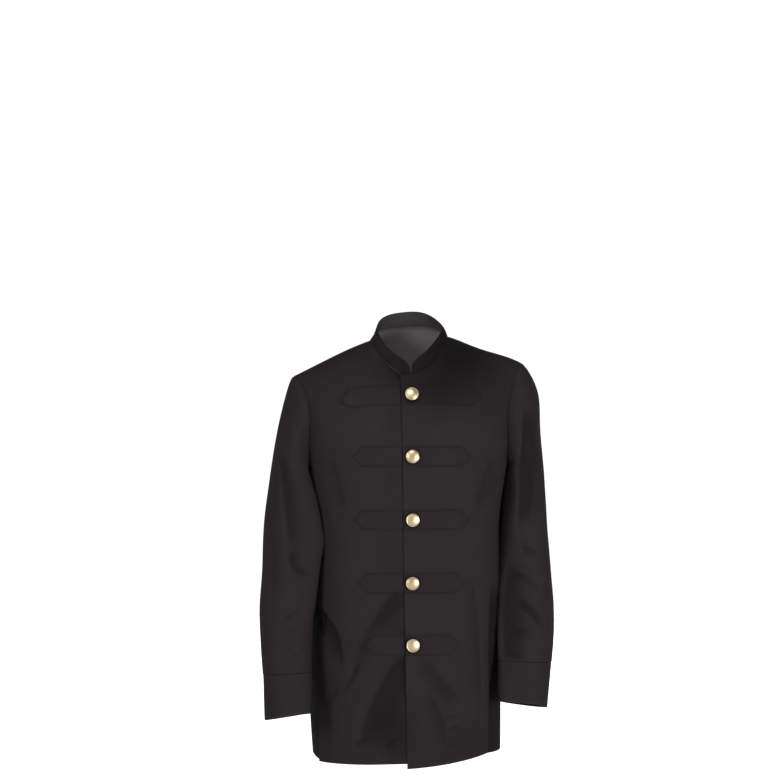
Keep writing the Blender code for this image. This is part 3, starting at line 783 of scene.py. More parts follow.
SIDES = {"left": 1, "right": -1}
HEM_FRONT = {"left": -0.808, "right": -0.798}
LEFT_FRONT_EDGE = {"top": 0.021, "hem": 0.011}
UNDERLAP = 0.030
LAYER_GAP = 0.8 * MM
STEP_DOWN = (0.035, 0.085)
BUTTON_HEIGHTS = (-0.108, -0.223, -0.342, -0.461, -0.577)
FRONT_COLUMNS = 92
FRONT_WAVES = {"left": 0.4, "right": 2.2}
BUTTON_PULL = 0.5 * MM
PULL_ACROSS = 0.020
PULL_UP = 0.016
BUTTON_DARK = 0.6
BUTTON_DARK_REACH = (13 * MM, 17 * MM)
EDGE_RUB = 0.4
# Painted shade along the front's seam at the neckline and shoulder
SEAM_DARK = 0.7
SEAM_REACH = 1.2 * MM
FRONT_FOLDS = {
    "left": folds(
        (6, -585, 36, -628, 62, -660, 100, -692, 11, 30, 4.4),
        (20, -660, 44, -700, 56, -740, 60, -790, 8, 22, 4),
        (57, -719, 67, -714, 78, -713, 90, -716, 3, 6, 2.6),
        (62, -748, 73, -737, 85, -731, 102, -729, 3, 7, 3),
        (54, -784, 64, -776, 74, -770, 86, -767, 3, 6, 2.6),
        (84, -233, 90, -236, 95, -236, 101, -235, 2, 4, 1.2),
        (168, -215, 150, -250, 134, -290, 122, -350, 20, 7, 3.2),
        (112, -440, 120, -490, 126, -540, 127, -610, 7, 20, 3),
        (128, -530, 131, -600, 131, -680, 126, -760, 3, 12, 2.6),
    ),
    "right": folds(
        (-8, -455, -46, -505, -86, -560, -114, -640, 22, 10, 5.2),
        (-100, -604, -109, -626, -121, -650, -140, -668, 5, 4, 3.6),
        (-133, -664, -146, -668, -154, -684, -152, -708, 4, 9, 2.6),
        (-182, -508, -160, -536, -142, -570, -132, -634, 5, 24, 6.6),
        (4, -575, -40, -640, -70, -695, -110, -790, 34, 13, 7.2),
        (-10, -545, -20, -560, -34, -580, -52, -604, 10, 5, 1.6),
        (-116, -768, -104, -762, -92, -754, -78, -752, 3, 6, 2.8),
        (-56, -770, -46, -764, -34, -756, -16, -752, 3, 6, 2.8),
        (-45, -187, -39, -193, -33, -199, -26, -206, 3, 5, 1.6),
        (-44, -50, -34, -56, -26, -64, -16, -78, 3, 6, 3),
        (-160, -215, -146, -255, -136, -295, -130, -350, 8, 18, 2.8),
        (-160, -690, -157, -720, -156, -760, -158, -810, 4, 8, 2.2),
    ),
}


def level_at(height):
    """Level of the point on the centre front at this height."""
    share = np.clip((height - CHEST_Z) / -CHEST_Z, 0, 1)
    above = np.arcsin(share ** (1 / FRONT_ROUNDING)) / QUARTER * PANEL_RISE
    return np.where(height > CHEST_Z, above, height - CHEST_Z)


def front_edge(side, height):
    """How far past the button line a front's edge lies: the left front's moves in to the hem."""
    if side == "right":
        return np.full_like(height, UNDERLAP)
    share = height / HEM_FRONT["left"]
    return LEFT_FRONT_EDGE["top"] * (1 - share) + LEFT_FRONT_EDGE["hem"] * share


def front_grid(side):
    """(angle, level) of a front as on the left side, from its front edge to its side edge."""
    pit = neckline(np.zeros(1))[0, 1]
    level = np.linspace(HEM_FRONT[side] - CHEST_Z, pit, SEAM_SAMPLES)
    angle = angle_at(-front_edge(side, level + CHEST_Z), level)
    inner = even_steps(np.stack([angle, level], -1), PANEL_ROWS)
    outer = side_edge(side)
    neck = neckline(np.linspace(0, QUARTER, NECK_SAMPLES))
    top = even_steps(np.concatenate([inner[-1:], neck, outer[-1:]]), FRONT_COLUMNS)
    share = np.linspace(0, 1, FRONT_COLUMNS)[:, None]
    bottom = inner[0] * (1 - share) + outer[0] * share
    return eased(patch(bottom, top, inner, outer))


def front_inward(side, x, z):
    """How far a front lies under the body's surface, at (x, z) of the front view."""
    inward = fold_depth(x, z, FRONT_FOLDS[side]) + unevenness(x, z, FRONT_WAVES[side])
    if side == "right":
        near, far = STEP_DOWN
        covered = fade(x, -far, -near)
        under = fold_depth(x, z, FRONT_FOLDS["left"]) + unevenness(x, z, FRONT_WAVES["left"])
        inward = inward * (1 - covered) + np.maximum(inward, under) * covered
        return inward + (CLOTH + LAYER_GAP) * covered
    for button_height in BUTTON_HEIGHTS:
        pull = np.exp(-((x / PULL_ACROSS) ** 2) - ((z - button_height) / PULL_UP) ** 2)
        inward = inward + BUTTON_PULL * pull
    return inward


def front_points(side):
    sign = SIDES[side]
    grid = front_grid(side)
    angle, level = sign * grid[..., 0], grid[..., 1]
    place = torso(angle, level)
    inward = front_inward(side, place[..., 0], place[..., 2])
    free = fade(sign * place[..., 0], *STEP_DOWN) if side == "right" else 1.0
    inward = inward * (1 - at_neckline(PANEL_ROWS) * free)
    normals = outward(angle, level)
    return settled(place - normals * inward[..., None]), inward, normals


def button_shade(points):
    """1, less a share under each button and just round it, where it keeps the light off."""
    shade = np.ones(points.shape[:2])
    for height in BUTTON_HEIGHTS:
        off = np.hypot(points[..., 0], points[..., 2] - height)
        shade *= 1 - BUTTON_DARK * (1 - fade(off, *BUTTON_DARK_REACH))
    return shade


def add_front(side):
    points, inward, normals = front_points(side)
    # Painted shade along the neckline and shoulder seam, round the buttons and in the hollows of
    # folds; the front edge and hem are lighter with wear
    seam = 1 - SEAM_DARK * edge_mark(points, ["last_row"], SEAM_REACH)
    edge = EDGE_RUB * edge_mark(points, ["first_row", "first_column"])
    marks = marks_of(points, inward, edge, seam * button_shade(points))
    turned = side == "right"
    name = f"jacket_front_{side}"
    piece = cloth_piece(
        name, points, CLOTH, black_twill, turned, marks=marks, facing=normals
    )
    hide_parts(f"front_{side}")


for side in SIDES:
    add_front(side)

# Sleeves. Each is one tube of twill, set into its armhole and bent forward at the elbow. The
# cap is a little fuller than the armhole and stands up round it.

SEAM_STEP = 0.4 * MM
SLEEVE_GAP = 0.4 * MM
HALF_ROUND = 72
CAP_ROWS = 48
ARM_ROWS = 124
SLEEVE = table(
    "height left_in left_out right_in right_out left_y right_y half_depth pitch roll",
    (-0.270, 0.1930, 0.2665, 0.1930, 0.2660, 0.006, -0.004, 0.071, 0, 0),
    (-0.340, 0.1800, 0.2730, 0.1805, 0.2760, 0.014, -0.016, 0.068, 0, 0),
    (-0.430, 0.1795, 0.2790, 0.1805, 0.2800, 0.012, -0.026, 0.064, 6, 1),
    (-0.520, 0.1815, 0.2835, 0.1835, 0.2855, -0.012, -0.040, 0.059, 12, 2),
    (-0.590, 0.1815, 0.2795, 0.1840, 0.2840, -0.040, -0.058, 0.055, 7, 2),
    (-0.634, 0.1810, 0.2735, 0.1840, 0.2805, -0.058, -0.070, 0.052, 4, 3),
    (-0.714, 0.1750, 0.2610, 0.1920, 0.2780, -0.090, -0.098, 0.048, 10, 8),
)
SLEEVE_SHIFT = {"left": 0.018, "right": 0.001}
SLEEVE_CAP = table(
    "share out forward down left_reach right_reach",
    (0.00, 0.35, 0.00, 0.94, 0.06, 0.06),
    (0.12, 0.55, 0.40, 0.75, 0.10, 0.09),
    (0.25, 0.75, 0.45, 0.55, 0.13, 0.11),
    (0.38, 0.82, 0.28, 0.50, 0.14, 0.09),
    (0.50, 0.85, 0.00, 0.53, 0.15, 0.07),
    (0.62, 0.82, -0.28, 0.50, 0.14, 0.09),
    (0.75, 0.75, -0.45, 0.55, 0.13, 0.11),
    (0.88, 0.55, -0.40, 0.75, 0.10, 0.09),
    (1.00, 0.35, 0.00, 0.94, 0.06, 0.06),
)
ARM_PULL = 0.75
ARM_STEP = 0.02
CAP_CROWDING = 1.5
FOLDS_START = (0.04, 0.12)
HALF_SEEN = (0.0, 0.4)
SLEEVE_WAVES = {"left": 3.1, "right": 4.6}
# Where the sleeve rests against the body: how far its inner wall and the corner in front of
# that come towards the body
SLEEVE_REST = {
    "left": table(
        "height wall corner",
        (-0.200, 0.0, 0.003),
        (-0.250, 0.0, 0.006),
        (-0.300, -0.002, 0.000),
        (-0.380, -0.002, 0.008),
        (-0.450, 0.0, 0.017),
        (-0.540, 0.0015, 0.024),
        (-0.600, 0.003, 0.022),
        (-0.650, 0.004, 0.019),
        (-0.720, 0.003, 0.010),
    ),
    "right": table(
        "height wall corner",
        (-0.200, 0.0, 0.0),
        (-0.270, 0.003, 0.012),
        (-0.340, 0.001, 0.020),
        (-0.390, 0.001, 0.026),
        (-0.430, 0.001, 0.020),
        (-0.480, 0.000, 0.016),
        (-0.540, -0.002, 0.009),
        (-0.610, -0.004, 0.003),
        (-0.680, -0.002, 0.009),
        (-0.720, -0.002, 0.012),
    ),
}
REST_CORNER = 0.12
WALL_REACH = 0.15
CORNER_REACH = 0.085
# The tuck under the body's edge: run from the armhole, depth under the sleeve's own level
TUCK = table("run depth", (-4.5, 1.9), (-3.0, 1.9), (-1.6, 1.85), (-0.6, 1.6), (0.2, 1.15))
TUCK_END = 3.2 * MM
TUCK_DEPTH = 1.0 * MM
SLEEVE_FOLDS = {
    "left": {
        "front": folds(
            (216, -400, 228, -404, 240, -408, 252, -408, 4, 10, 4.6),
            (204, -448, 216, -454, 226, -456, 238, -462, 4, 8, 2.6),
            (222, -470, 234, -466, 244, -468, 256, -474, 4, 7, 3),
            (206, -503, 224, -512, 240, -530, 256, -556, 10, 4, 4.8),
            (196, -560, 206, -560, 216, -558, 230, -550, 4, 8, 3),
            (192, -590, 200, -596, 210, -602, 222, -610, 8, 4, 2.8),
            (224, -110, 222, -200, 218, -290, 212, -390, 26, 6, 10),
            (206, -400, 204, -480, 202, -560, 200, -640, 20, 5, 6),
        ),
        "back": folds(
            (268, -320, 245, -335, 225, -345, 196, -348, 10, 4, 4.5),
            (194, -390, 215, -402, 238, -415, 268, -420, 4, 11, 4.8),
            (270, -455, 248, -468, 228, -478, 205, -480, 9, 4, 3.6),
            (240, -100, 232, -170, 228, -240, 226, -320, 7, 18, 4.2),
            (220, -500, 230, -540, 238, -580, 240, -620, 6, 12, 3.2),
        ),
    },
    "right": {
        "front": folds(
            (-246, -200, -240, -270, -232, -340, -226, -430, 22, 7, 6.2),
            (-231, -395, -228, -420, -220, -440, -196, -452, 10, 3, 5.2),
            (-246, -534, -234, -526, -222, -518, -206, -512, 3, 8, 3.4),
            (-250, -562, -238, -552, -226, -548, -214, -548, 3, 8, 2.4),
            (-232, -590, -222, -594, -212, -594, -200, -590, 4, 6, 2.4),
            (-256, -612, -240, -616, -225, -612, -204, -602, 3, 6, 2.2),
            (-266, -330, -262, -400, -262, -480, -262, -560, 16, 6, 3),
        ),
        "back": folds(
            (-270, -335, -248, -348, -228, -358, -198, -360, 4, 10, 4.5),
            (-196, -405, -218, -416, -242, -428, -272, -432, 11, 4, 4.8),
            (-272, -475, -250, -488, -230, -496, -208, -497, 4, 9, 3.4),
            (-240, -110, -234, -180, -230, -250, -228, -330, 18, 7, 4.2),
            (-224, -520, -234, -560, -242, -600, -244, -640, 12, 6, 3),
        ),
    },
}


def sleeve_section(side, height, share):
    """Points of a tilted ellipse round the arm, by share round from the body side over the front."""
    columns = (f"{side}_in", f"{side}_out", f"{side}_y", "half_depth", "pitch", "roll")
    inner, outer, y, half_depth, pitch, roll = (
        through(-SLEEVE["height"], SLEEVE[c], -height)[..., None] for c in columns
    )
    x, half_width = (inner + outer) / 2, (outer - inner) / 2
    out = -half_width * np.cos(share * 2 * math.pi)
    forward = half_depth * np.sin(share * 2 * math.pi)
    pitch, roll = pitch * DEGREE, roll * DEGREE
    rise = forward * np.sin(pitch) - out * np.sin(roll)
    level = height[..., None] + SLEEVE_SHIFT[side]
    return np.stack(
        [SIDES[side] * (x + out * np.cos(roll)), y - forward * np.cos(pitch), level + rise], -1
    )


def sleeve_shares():
    return np.arange(2 * HALF_ROUND) / (2 * HALF_ROUND)


def rested(side, points):
    """The sleeve's points, with the inner wall and its front corner moved towards the body."""
    share = sleeve_shares()
    from_wall = np.minimum(share, 1 - share)
    from_corner = np.abs(share - REST_CORNER)
    height = points[..., 2]
    rest = SLEEVE_REST[side]
    wall, corner = (through(-rest["height"], rest[c], -height) for c in ("wall", "corner"))
    push = wall * np.exp(-((from_wall / WALL_REACH) ** 2))
    push = push + corner * np.exp(-((from_corner / CORNER_REACH) ** 2))
    moved = points.copy()
    moved[..., 0] -= SIDES[side] * push
    return moved


def sleeve_inward(side, points):
    """How far the folds lie in: those of each view count on the half that faces it."""
    radial = points - points.mean(axis=1, keepdims=True)
    radial[..., 2] = 0
    radial = unit(radial)
    x, z = points[..., 0], points[..., 2]
    facing = radial[..., 1]
    front = fold_depth(x, z, SLEEVE_FOLDS[side]["front"]) * fade(-facing, *HALF_SEEN)
    back = fold_depth(x, z, SLEEVE_FOLDS[side]["back"]) * fade(facing, *HALF_SEEN)
    wave = unevenness(x + ARM_STEP * facing, z, SLEEVE_WAVES[side])
    return front + back + wave, radial


def sleeve_points(side):
    """Grid of a sleeve, from the armhole to the cuff seam, closed round each row.

    The cap is a Hermite curve from each point of the armhole to the upper arm's section, which
    leaves along SLEEVE_CAP and arrives along the arm.
    """
    sign = SIDES[side]
    share = sleeve_shares()
    front = even_steps(armhole(), HALF_ROUND + 1)
    back = even_steps(armhole(back=True), HALF_ROUND + 1)
    loop = np.concatenate([front[:-1], back[:0:-1]])
    angle, level = sign * loop[:, 0], loop[:, 1]
    columns = ("out", "forward", "down", f"{side}_reach")
    out, forward, down, reach = (through(SLEEVE_CAP["share"], SLEEVE_CAP[c], share) for c in columns)
    lead = unit(np.stack([sign * out, -forward, -down], -1))
    start = torso(angle, level) + lead * SLEEVE_GAP + outward(angle, level) * SEAM_STEP
    top = SLEEVE["height"][0]
    rings = sleeve_section(side, np.array([top, top - ARM_STEP]), share)
    end, arrive = rings[0], unit(rings[1] - rings[0])
    t = (np.linspace(0, 1, CAP_ROWS + 1) ** CAP_CROWDING)[:, None, None]
    pull = reach[:, None]
    cap = hermite(t, start, lead * pull, end, arrive * pull * ARM_PULL)
    normal = outward(angle, level)
    run = np.concatenate([np.zeros((1, len(share))), np.linalg.norm(np.diff(cap, axis=0), axis=2)])
    tuck = TUCK_DEPTH * (1 - fade(np.cumsum(run, axis=0), 0, TUCK_END))
    cap = cap - normal * tuck[..., None]
    along = unit(lead - normal * np.sum(lead * normal, axis=-1, keepdims=True))
    tuck_run, tuck_depth = (TUCK[c][:, None, None] * MM for c in ("run", "depth"))
    hidden = start + along * tuck_run - normal * tuck_depth
    heights = np.linspace(top, SLEEVE["height"][-2], ARM_ROWS + 1)[1:]
    points = np.concatenate([hidden, cap[1:], sleeve_section(side, heights, share)])
    inward, radial = sleeve_inward(side, points)
    from_armhole = np.linspace(0, 1, len(points))[:, None]
    inward = inward * fade(from_armhole, *FOLDS_START)
    return settled(rested(side, points - radial * inward[..., None])), inward


def add_sleeve(side):
    points, inward = sleeve_points(side)
    # The marks paint shade into the hollows of the sleeve's folds
    marks = marks_of(points, inward, np.zeros(inward.shape))
    turned = side == "left"
    piece = cloth_piece(
        f"jacket_sleeve_{side}", points, CLOTH, black_twill, turned, True, marks
    )
    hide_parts(f"sleeve_{side}")


for side in SIDES:
    add_sleeve(side)

# Cuffs. Sewn-on bands of the same twill, a little tighter than the sleeve, with a turned hem.

CUFF_EASE = 0.985
CUFF_SEAM = 0.5 * MM
CUFF_ROWS = 32
CUFF_HEM_FOLDS = 0.4
CUFF_RUB = 4 * MM


def cuff_points(side):
    """Grid of a cuff, from just below the sleeve's end to the opening."""
    start, end = SLEEVE["height"][-2:]
    rings = sleeve_section(side, np.linspace(start, end, CUFF_ROWS), sleeve_shares())
    middle = rings.mean(axis=1, keepdims=True)
    rings = middle + (rings - middle) * CUFF_EASE
    rings[0] += unit(middle[-1] - middle[0]) * CUFF_SEAM
    inward, radial = sleeve_inward(side, rings)
    inward = inward * np.linspace(1, CUFF_HEM_FOLDS, CUFF_ROWS)[:, None]
    return settled(rested(side, rings - radial * inward[..., None])), inward


def add_cuff(side):
    points, inward = cuff_points(side)
    u, v = cut_lengths(points, True)
    from_hem = v[-1, 0] - v[:, :-1]
    # Wear along the hem, and painted shade in the hollows of the folds
    marks = marks_of(points, inward, np.exp(-from_hem / CUFF_RUB))
    turned = side == "left"
    piece = cloth_piece(
        f"jacket_cuff_{side}", points, CLOTH, black_twill, turned, True, marks
    )
    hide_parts(f"cuff_{side}")


for side in SIDES:
    add_cuff(side)

# Collar. A stand collar of twill sewn to the neckline, with rounded front corners, and a grey
# inner layer that stops just under its top edge.

COLLAR_HEIGHT = 0.030
COLLAR_SIDE_HEIGHT = 0.022
COLLAR_TIP = 0.007
COLLAR_ROUND = 0.026
COLLAR_LEAN = {"left": 0.42, "right": 0.38}
COLLAR_RIM = 1.5 * MM
COLLAR_SEAT = -0.6 * MM
COLLAR_COLUMNS = 240
COLLAR_ROWS = 16
COLLAR_SWELL = 0.6 * MM
COLLAR_BESIDE = 2.6
# Painted shade on the collar: all over, and more along its foot at the neckline seam
COLLAR_SHADE = 0.72
COLLAR_SEAM_DARK = 0.5
COLLAR_RUB = 2 * MM
COLLAR_GAP = 0.2 * MM
RING_SAMPLES = 90
GREY_THREADS = 0.6 * MM
GREY_DEPTH = 0.08 * MM
FACING_CLOTH = 1.0 * MM


def neck_ring():
    """Points of the neckline from the centre front round the left, the nape and the right, at
    equal distances."""
    turn = np.linspace(0, QUARTER, RING_SAMPLES)
    front, back = neckline(turn), neckline(turn, back=True)
    left = np.concatenate([front, back[-2::-1]])
    ring = np.concatenate([left, left[-2::-1] * [-1, 1]])
    points = torso(ring[:, 0], ring[:, 1])
    points[0, 0] += SEAM_STEP
    points[-1, 0] -= SEAM_STEP
    run = run_of(points)
    at = np.linspace(0, run[-1], COLLAR_COLUMNS)
    return at_runs(at, run, points), at


def collar_points(inset, rim):
    """Grid of one layer of the stand collar. It rises from the neckline and leans in to the
    neck with a slight swell, and its front corners are quarter ellipses."""
    base, run = neck_ring()
    from_end = np.minimum(run, run[-1] - run)
    near_end = np.clip(1 - from_end / COLLAR_ROUND, 0, 1)
    beside = np.abs(base[:, 0] / NECK_HALF_WIDTH) ** COLLAR_BESIDE
    full = COLLAR_HEIGHT + (COLLAR_SIDE_HEIGHT - COLLAR_HEIGHT) * beside
    height = COLLAR_TIP + (full - COLLAR_TIP) * np.sqrt(1 - near_end**2) - rim
    inward = unit(-base * [1, 1, 0])
    up = unit(inward * by_side(COLLAR_LEAN, base[:, 0])[:, None] + [0, 0, 1])
    across = unit(inward - up * np.sum(inward * up, axis=1, keepdims=True))
    foot = base + across * (inset + SEAM_STEP) + up * COLLAR_SEAT
    share = np.linspace(0, 1, COLLAR_ROWS)[:, None, None]
    swell = COLLAR_SWELL * np.sin(math.pi * share)
    return settled(foot + up * height[:, None] * share - across * swell)


def plain_weave():
    """Plain weave: threads that cross over and under, as a chequer of small humps."""
    group, given, result = shader_group(
        "plain_weave",
        [
            ("INPUT", "Vector", "Cut", None),
            ("INPUT", "Float", "Spacing", 0.001),
            ("OUTPUT", "Float", "Height", None),
            ("OUTPUT", "Float", "Cloud", None),
        ],
    )
    cut, spacing = given.outputs["Cut"], given.outputs["Spacing"]
    split = group.nodes.new("ShaderNodeSeparateXYZ")
    link(group, (cut, split.inputs[0]))
    waves = [
        maths(group, "SINE", maths(group, "MULTIPLY", maths(group, "DIVIDE", s, spacing), math.pi))
        for s in split.outputs[:2]
    ]
    height = maths(group, "MULTIPLY_ADD", maths(group, "MULTIPLY", *waves), 0.5, 0.5)
    link(
        group,
        (height, result.inputs["Height"]),
        (noise(group, cut, 14, 4, 0.6), result.inputs["Cloud"]),
    )
    return group


def grey_finish():
    """Grey plain weave, darker at the neckline and on the collar's inner layer and lighter the deeper
    inside the neck it lies: painted shade where light falls on it, painted light where it lies in
    shade.
    """
    made, tree, shader = new_finish("grey_facing", sheen=0.0, specular=0.1)
    weave, _ = woven(tree, plain_weave(), GREY_THREADS)
    share = maths(tree, "MULTIPLY_ADD", weave.outputs["Height"], 0.4, weave.outputs["Cloud"])
    upper = blend_colour(tree, share, *GREY_UPPER)
    lower = blend_colour(tree, share, *GREY_LOWER)
    link(
        tree,
        (blend_colour(tree, read_mark(tree, "deep"), upper, lower), shader.inputs["Base Color"]),
        (maths(tree, "MULTIPLY_ADD", weave.outputs["Cloud"], -0.15, 0.90), shader.inputs["Roughness"]),
    )
    add_bump(tree, shader, weave.outputs["Height"], 0.4, GREY_DEPTH)
    return made


# Two tones of the same grey: the upper one is painted shade, darker where light falls on it, and the
# lower one, several times lighter, is painted light deep inside the neck
GREY_UPPER = ((0.034, 0.030, 0.032), (0.048, 0.043, 0.045))
GREY_LOWER = ((0.200, 0.181, 0.187), (0.260, 0.234, 0.242))
grey_facing = grey_finish()


def add_collar():
    points = collar_points(0, 0)
    edge = edge_mark(points, ["last_row", "first_column", "last_column"], COLLAR_RUB)
    # Painted shade: the collar is darker all over and darker still along its foot; its top edge and
    # front ends are lighter with wear
    seam = 1 - COLLAR_SEAM_DARK * edge_mark(points, ["first_row"], SEAM_REACH)
    marks = marks_of(points, np.zeros(edge.shape), EDGE_RUB * edge, COLLAR_SHADE * seam)
    piece = cloth_piece("jacket_collar", points, CLOTH, black_twill, marks=marks)
    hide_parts("collar")
    points = collar_points(CLOTH + COLLAR_GAP, COLLAR_RIM)
    # The collar's grey layer takes the upper, painted-shade tone all over
    marks = {"deep": np.zeros(points.shape[:2])}
    lining = cloth_piece(
        "jacket_collar_facing", points, FACING_CLOTH, grey_facing, marks=marks
    )
    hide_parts("collar_facing")


add_collar()

# Back neck facing. A grey piece inside the back and shoulders, sewn in along the neckline. It is
# what shows through the open neck.

FACING_GAP = 0.5 * MM
FACING_DROP = 0.130
FACING_SPREAD = 0.075
FACING_END = 0.985
FACING_DEEP = (-8 * MM, 14 * MM)
FACING_COLUMNS = 120
FACING_ROWS = 40


def facing_points():
    """Grid from the neckline, 0, to the facing's own edge, 1: as far down the back as
    FACING_DROP at the nape, and along the shoulder by FACING_SPREAD beside the neck."""
    turn = np.linspace(-QUARTER, QUARTER, FACING_COLUMNS) * FACING_END
    sign = np.sign(turn)
    near = neckline(np.abs(turn), back=True)
    drop = FACING_DROP * np.cos(turn) ** 0.7
    far_level = near[:, 1] - drop
    far_x = (NECK_HALF_WIDTH + FACING_SPREAD) * np.abs(np.sin(turn)) ** 0.8
    far = np.stack([math.pi - angle_at(far_x, far_level), far_level], -1)
    share = np.linspace(0, 1, FACING_ROWS)[:, None, None]
    grid = near * (1 - share) + far * share
    angle = math.pi - sign * (math.pi - grid[..., 0])
    place = torso(angle, grid[..., 1])
    x, z = place[..., 0], place[..., 2]
    inward = CLOTH + FACING_GAP + np.maximum(back_inward(x, z), 0)
    return settled(place - outward(angle, grid[..., 1]) * inward[..., None])


def add_facing():
    points = facing_points()
    # Painted light: the facing turns from the darker tone to the lighter one just below the neckline
    marks = {"deep": fade(cut_lengths(points, False)[1], *FACING_DEEP)}
    piece = cloth_piece(
        "jacket_neck_facing", points, FACING_CLOTH, grey_facing, marks=marks
    )
    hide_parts("back_neck_facing")


add_facing()

# Tabs. Ten pressed strips of twill, one each side of every button, pointed at the outer end and
# stitched down on the fronts. The top right one's point has come unstuck and lifts.

TAB_CLOTH = 1.2 * MM
TAB_HEIGHT = 0.038
TAB_POINT = 0.018
TAB_TIP = 1.2 * MM
TAB_SEAT = 0.15 * MM
TAB_FROM_EDGE = 1.5 * MM
TAB_REACH = (0.132, 0.112, 0.110, 0.102, 0.090)
TAB_COLUMNS = 64
TAB_ROWS = 21
LIFTED_FROM = 0.088
LIFT = 3.5 * MM
LIFT_POWER = 1.2
TAB_CROWDING = 1.15
TAB_RUB = 0.1
TAB_RUB_REACH = 2 * MM
# Painted shade on the tabs: all over, and more along their edges
TAB_SHADE = 0.90
TAB_EDGE_DARK = 0.14
# How far a tab's point lies above its button's height
TAB_DROOP = {(1, "right"): -0.005, (1, "left"): 0.001}


def tab_outline(number, side, share, rise):
    """(x, height) of a tab, x from the button line: along it by share, up it by rise from -1
    to 1. It narrows to its point over TAB_POINT."""
    height, reach = BUTTON_HEIGHTS[number - 1], TAB_REACH[number - 1]
    start = front_edge("left", np.float64(height))
    start = (-start if side == "left" else start) + TAB_FROM_EDGE
    x = start + (reach - start) * share
    near_tip = np.clip(1 - (reach - x) / TAB_POINT, 0, 1)
    half = np.maximum(TAB_HEIGHT / 2 * (1 - near_tip), TAB_TIP)
    droop = TAB_DROOP.get((number, side), 0) * near_tip
    return x, height + rise * half + droop


def on_front(side, x, height, above):
    """Points above a front, at x from the button line on that side and at a height."""
    level = level_at(height)
    angle = SIDES[side] * angle_at(x, level)
    place = torso(angle, level)
    inward = front_inward(side, place[..., 0], place[..., 2])
    normal = outward(angle, level)
    return settled(place + normal * (above - inward)[..., None]), normal


def tab_lift(number, side, x):
    """How far the tab stands off the front: only the lifted one's point does."""
    if (number, side) != (1, "right"):
        return np.zeros_like(x)
    return LIFT * fade(x, LIFTED_FROM, TAB_REACH[0]) ** LIFT_POWER


def tab_points(number, side):
    share = 1 - (1 - np.linspace(0, 1, TAB_COLUMNS)) ** TAB_CROWDING
    rise = np.linspace(-1, 1, TAB_ROWS)[:, None]
    x, height = tab_outline(number, side, share[None], rise)
    x = np.broadcast_to(x, height.shape)
    above = TAB_SEAT + TAB_CLOTH + tab_lift(number, side, x)
    return on_front(side, x, height, above)[0]


tab_twill = twill_finish(
    "black_tab_cloth",
    dark=(0.0130, 0.0101, 0.0111),
    light=(0.0294, 0.0231, 0.0254),
    wear_highlight_colour=(0.072, 0.062, 0.065),
    weave_depth=0.10 * MM,
)


def add_tab(number, side):
    points = tab_points(number, side)
    edge = edge_mark(points, ["first_row", "last_row", "last_column"], TAB_RUB_REACH)
    # Painted shade: the tabs are a little darker all over, darker along their edges and round the
    # buttons; their edges are also a little lighter with wear
    more_shade = (TAB_SHADE - TAB_EDGE_DARK * edge) * button_shade(points)
    marks = marks_of(points, np.zeros(edge.shape), TAB_RUB * edge, more_shade)
    turned = side == "right"
    name = f"jacket_tab_{side}_{number}"
    piece = cloth_piece(name, points, TAB_CLOTH, tab_twill, turned, marks=marks)
    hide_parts(f"tab_{side}_{number}")


for side in SIDES:
    for number in range(1, 6):
        add_tab(number, side)

# Buttons. Pale brass coat buttons: a stamped dome with a rolled rim, on a shank that stands in
# its buttonhole. The last two face a little further down.

GROOVE_RADIUS = 10.6 * MM
GROOVE_REACH = 0.45 * MM
FACE_HEIGHT = 4 * MM
BACK_DULL = 0.6
BUTTON_STEPS = 72
BUTTON_TILT = table("down sideways", (2, 1), (-1, -2), (1, 2), (5, -1), (4, 2))
# From the middle of the dome over the rim to the foot of the shank
BUTTON_PROFILE = table(
    "radius height",
    (0.00, 6.60),
    (2.00, 6.54),
    (4.00, 6.36),
    (6.00, 6.04),
    (8.00, 5.56),
    (9.40, 5.10),
    (10.20, 4.80),
    (10.60, 4.72),
    (10.90, 4.82),
    (11.40, 4.98),
    (11.90, 4.92),
    (12.30, 4.60),
    (12.50, 4.10),
    (12.40, 3.60),
    (12.05, 3.20),
    (11.40, 2.95),
    (8.00, 2.70),
    (3.60, 2.60),
    (3.05, 2.50),
    (3.00, 1.20),
    (3.00, 0.10),
    (2.00, 0.00),
    (0.00, 0.00),
)


def brass_finish():
    """Pale satin brass: fine scratches, cloudy polish, and a duller tone in the rim's groove."""
    made, tree, shader = new_finish("pale_brass", sheen=0.0, specular=0.5)
    shader.inputs["Metallic"].default_value = 1.0
    where = tree.nodes.new("ShaderNodeTexCoord").outputs["Object"]
    cloud = noise(tree, where, 220, 3)
    scratch = noise(tree, where, 2600, 2)
    groove = read_mark(tree, "groove")
    tone = blend_colour(tree, cloud, BRASS_LIGHT, BRASS_DEEP)
    colour = blend_colour(tree, groove, tone, BRASS_DULL)
    link(
        tree,
        (colour, shader.inputs["Base Color"]),
        (maths(tree, "MULTIPLY_ADD", cloud, 0.16, 0.30), shader.inputs["Roughness"]),
    )
    add_bump(tree, shader, scratch, 0.12, 0.05 * MM)
    return made


BRASS_LIGHT, BRASS_DEEP, BRASS_DULL = (0.86, 0.75, 0.51), (0.76, 0.62, 0.37), (0.36, 0.26, 0.12)
pale_brass = brass_finish()


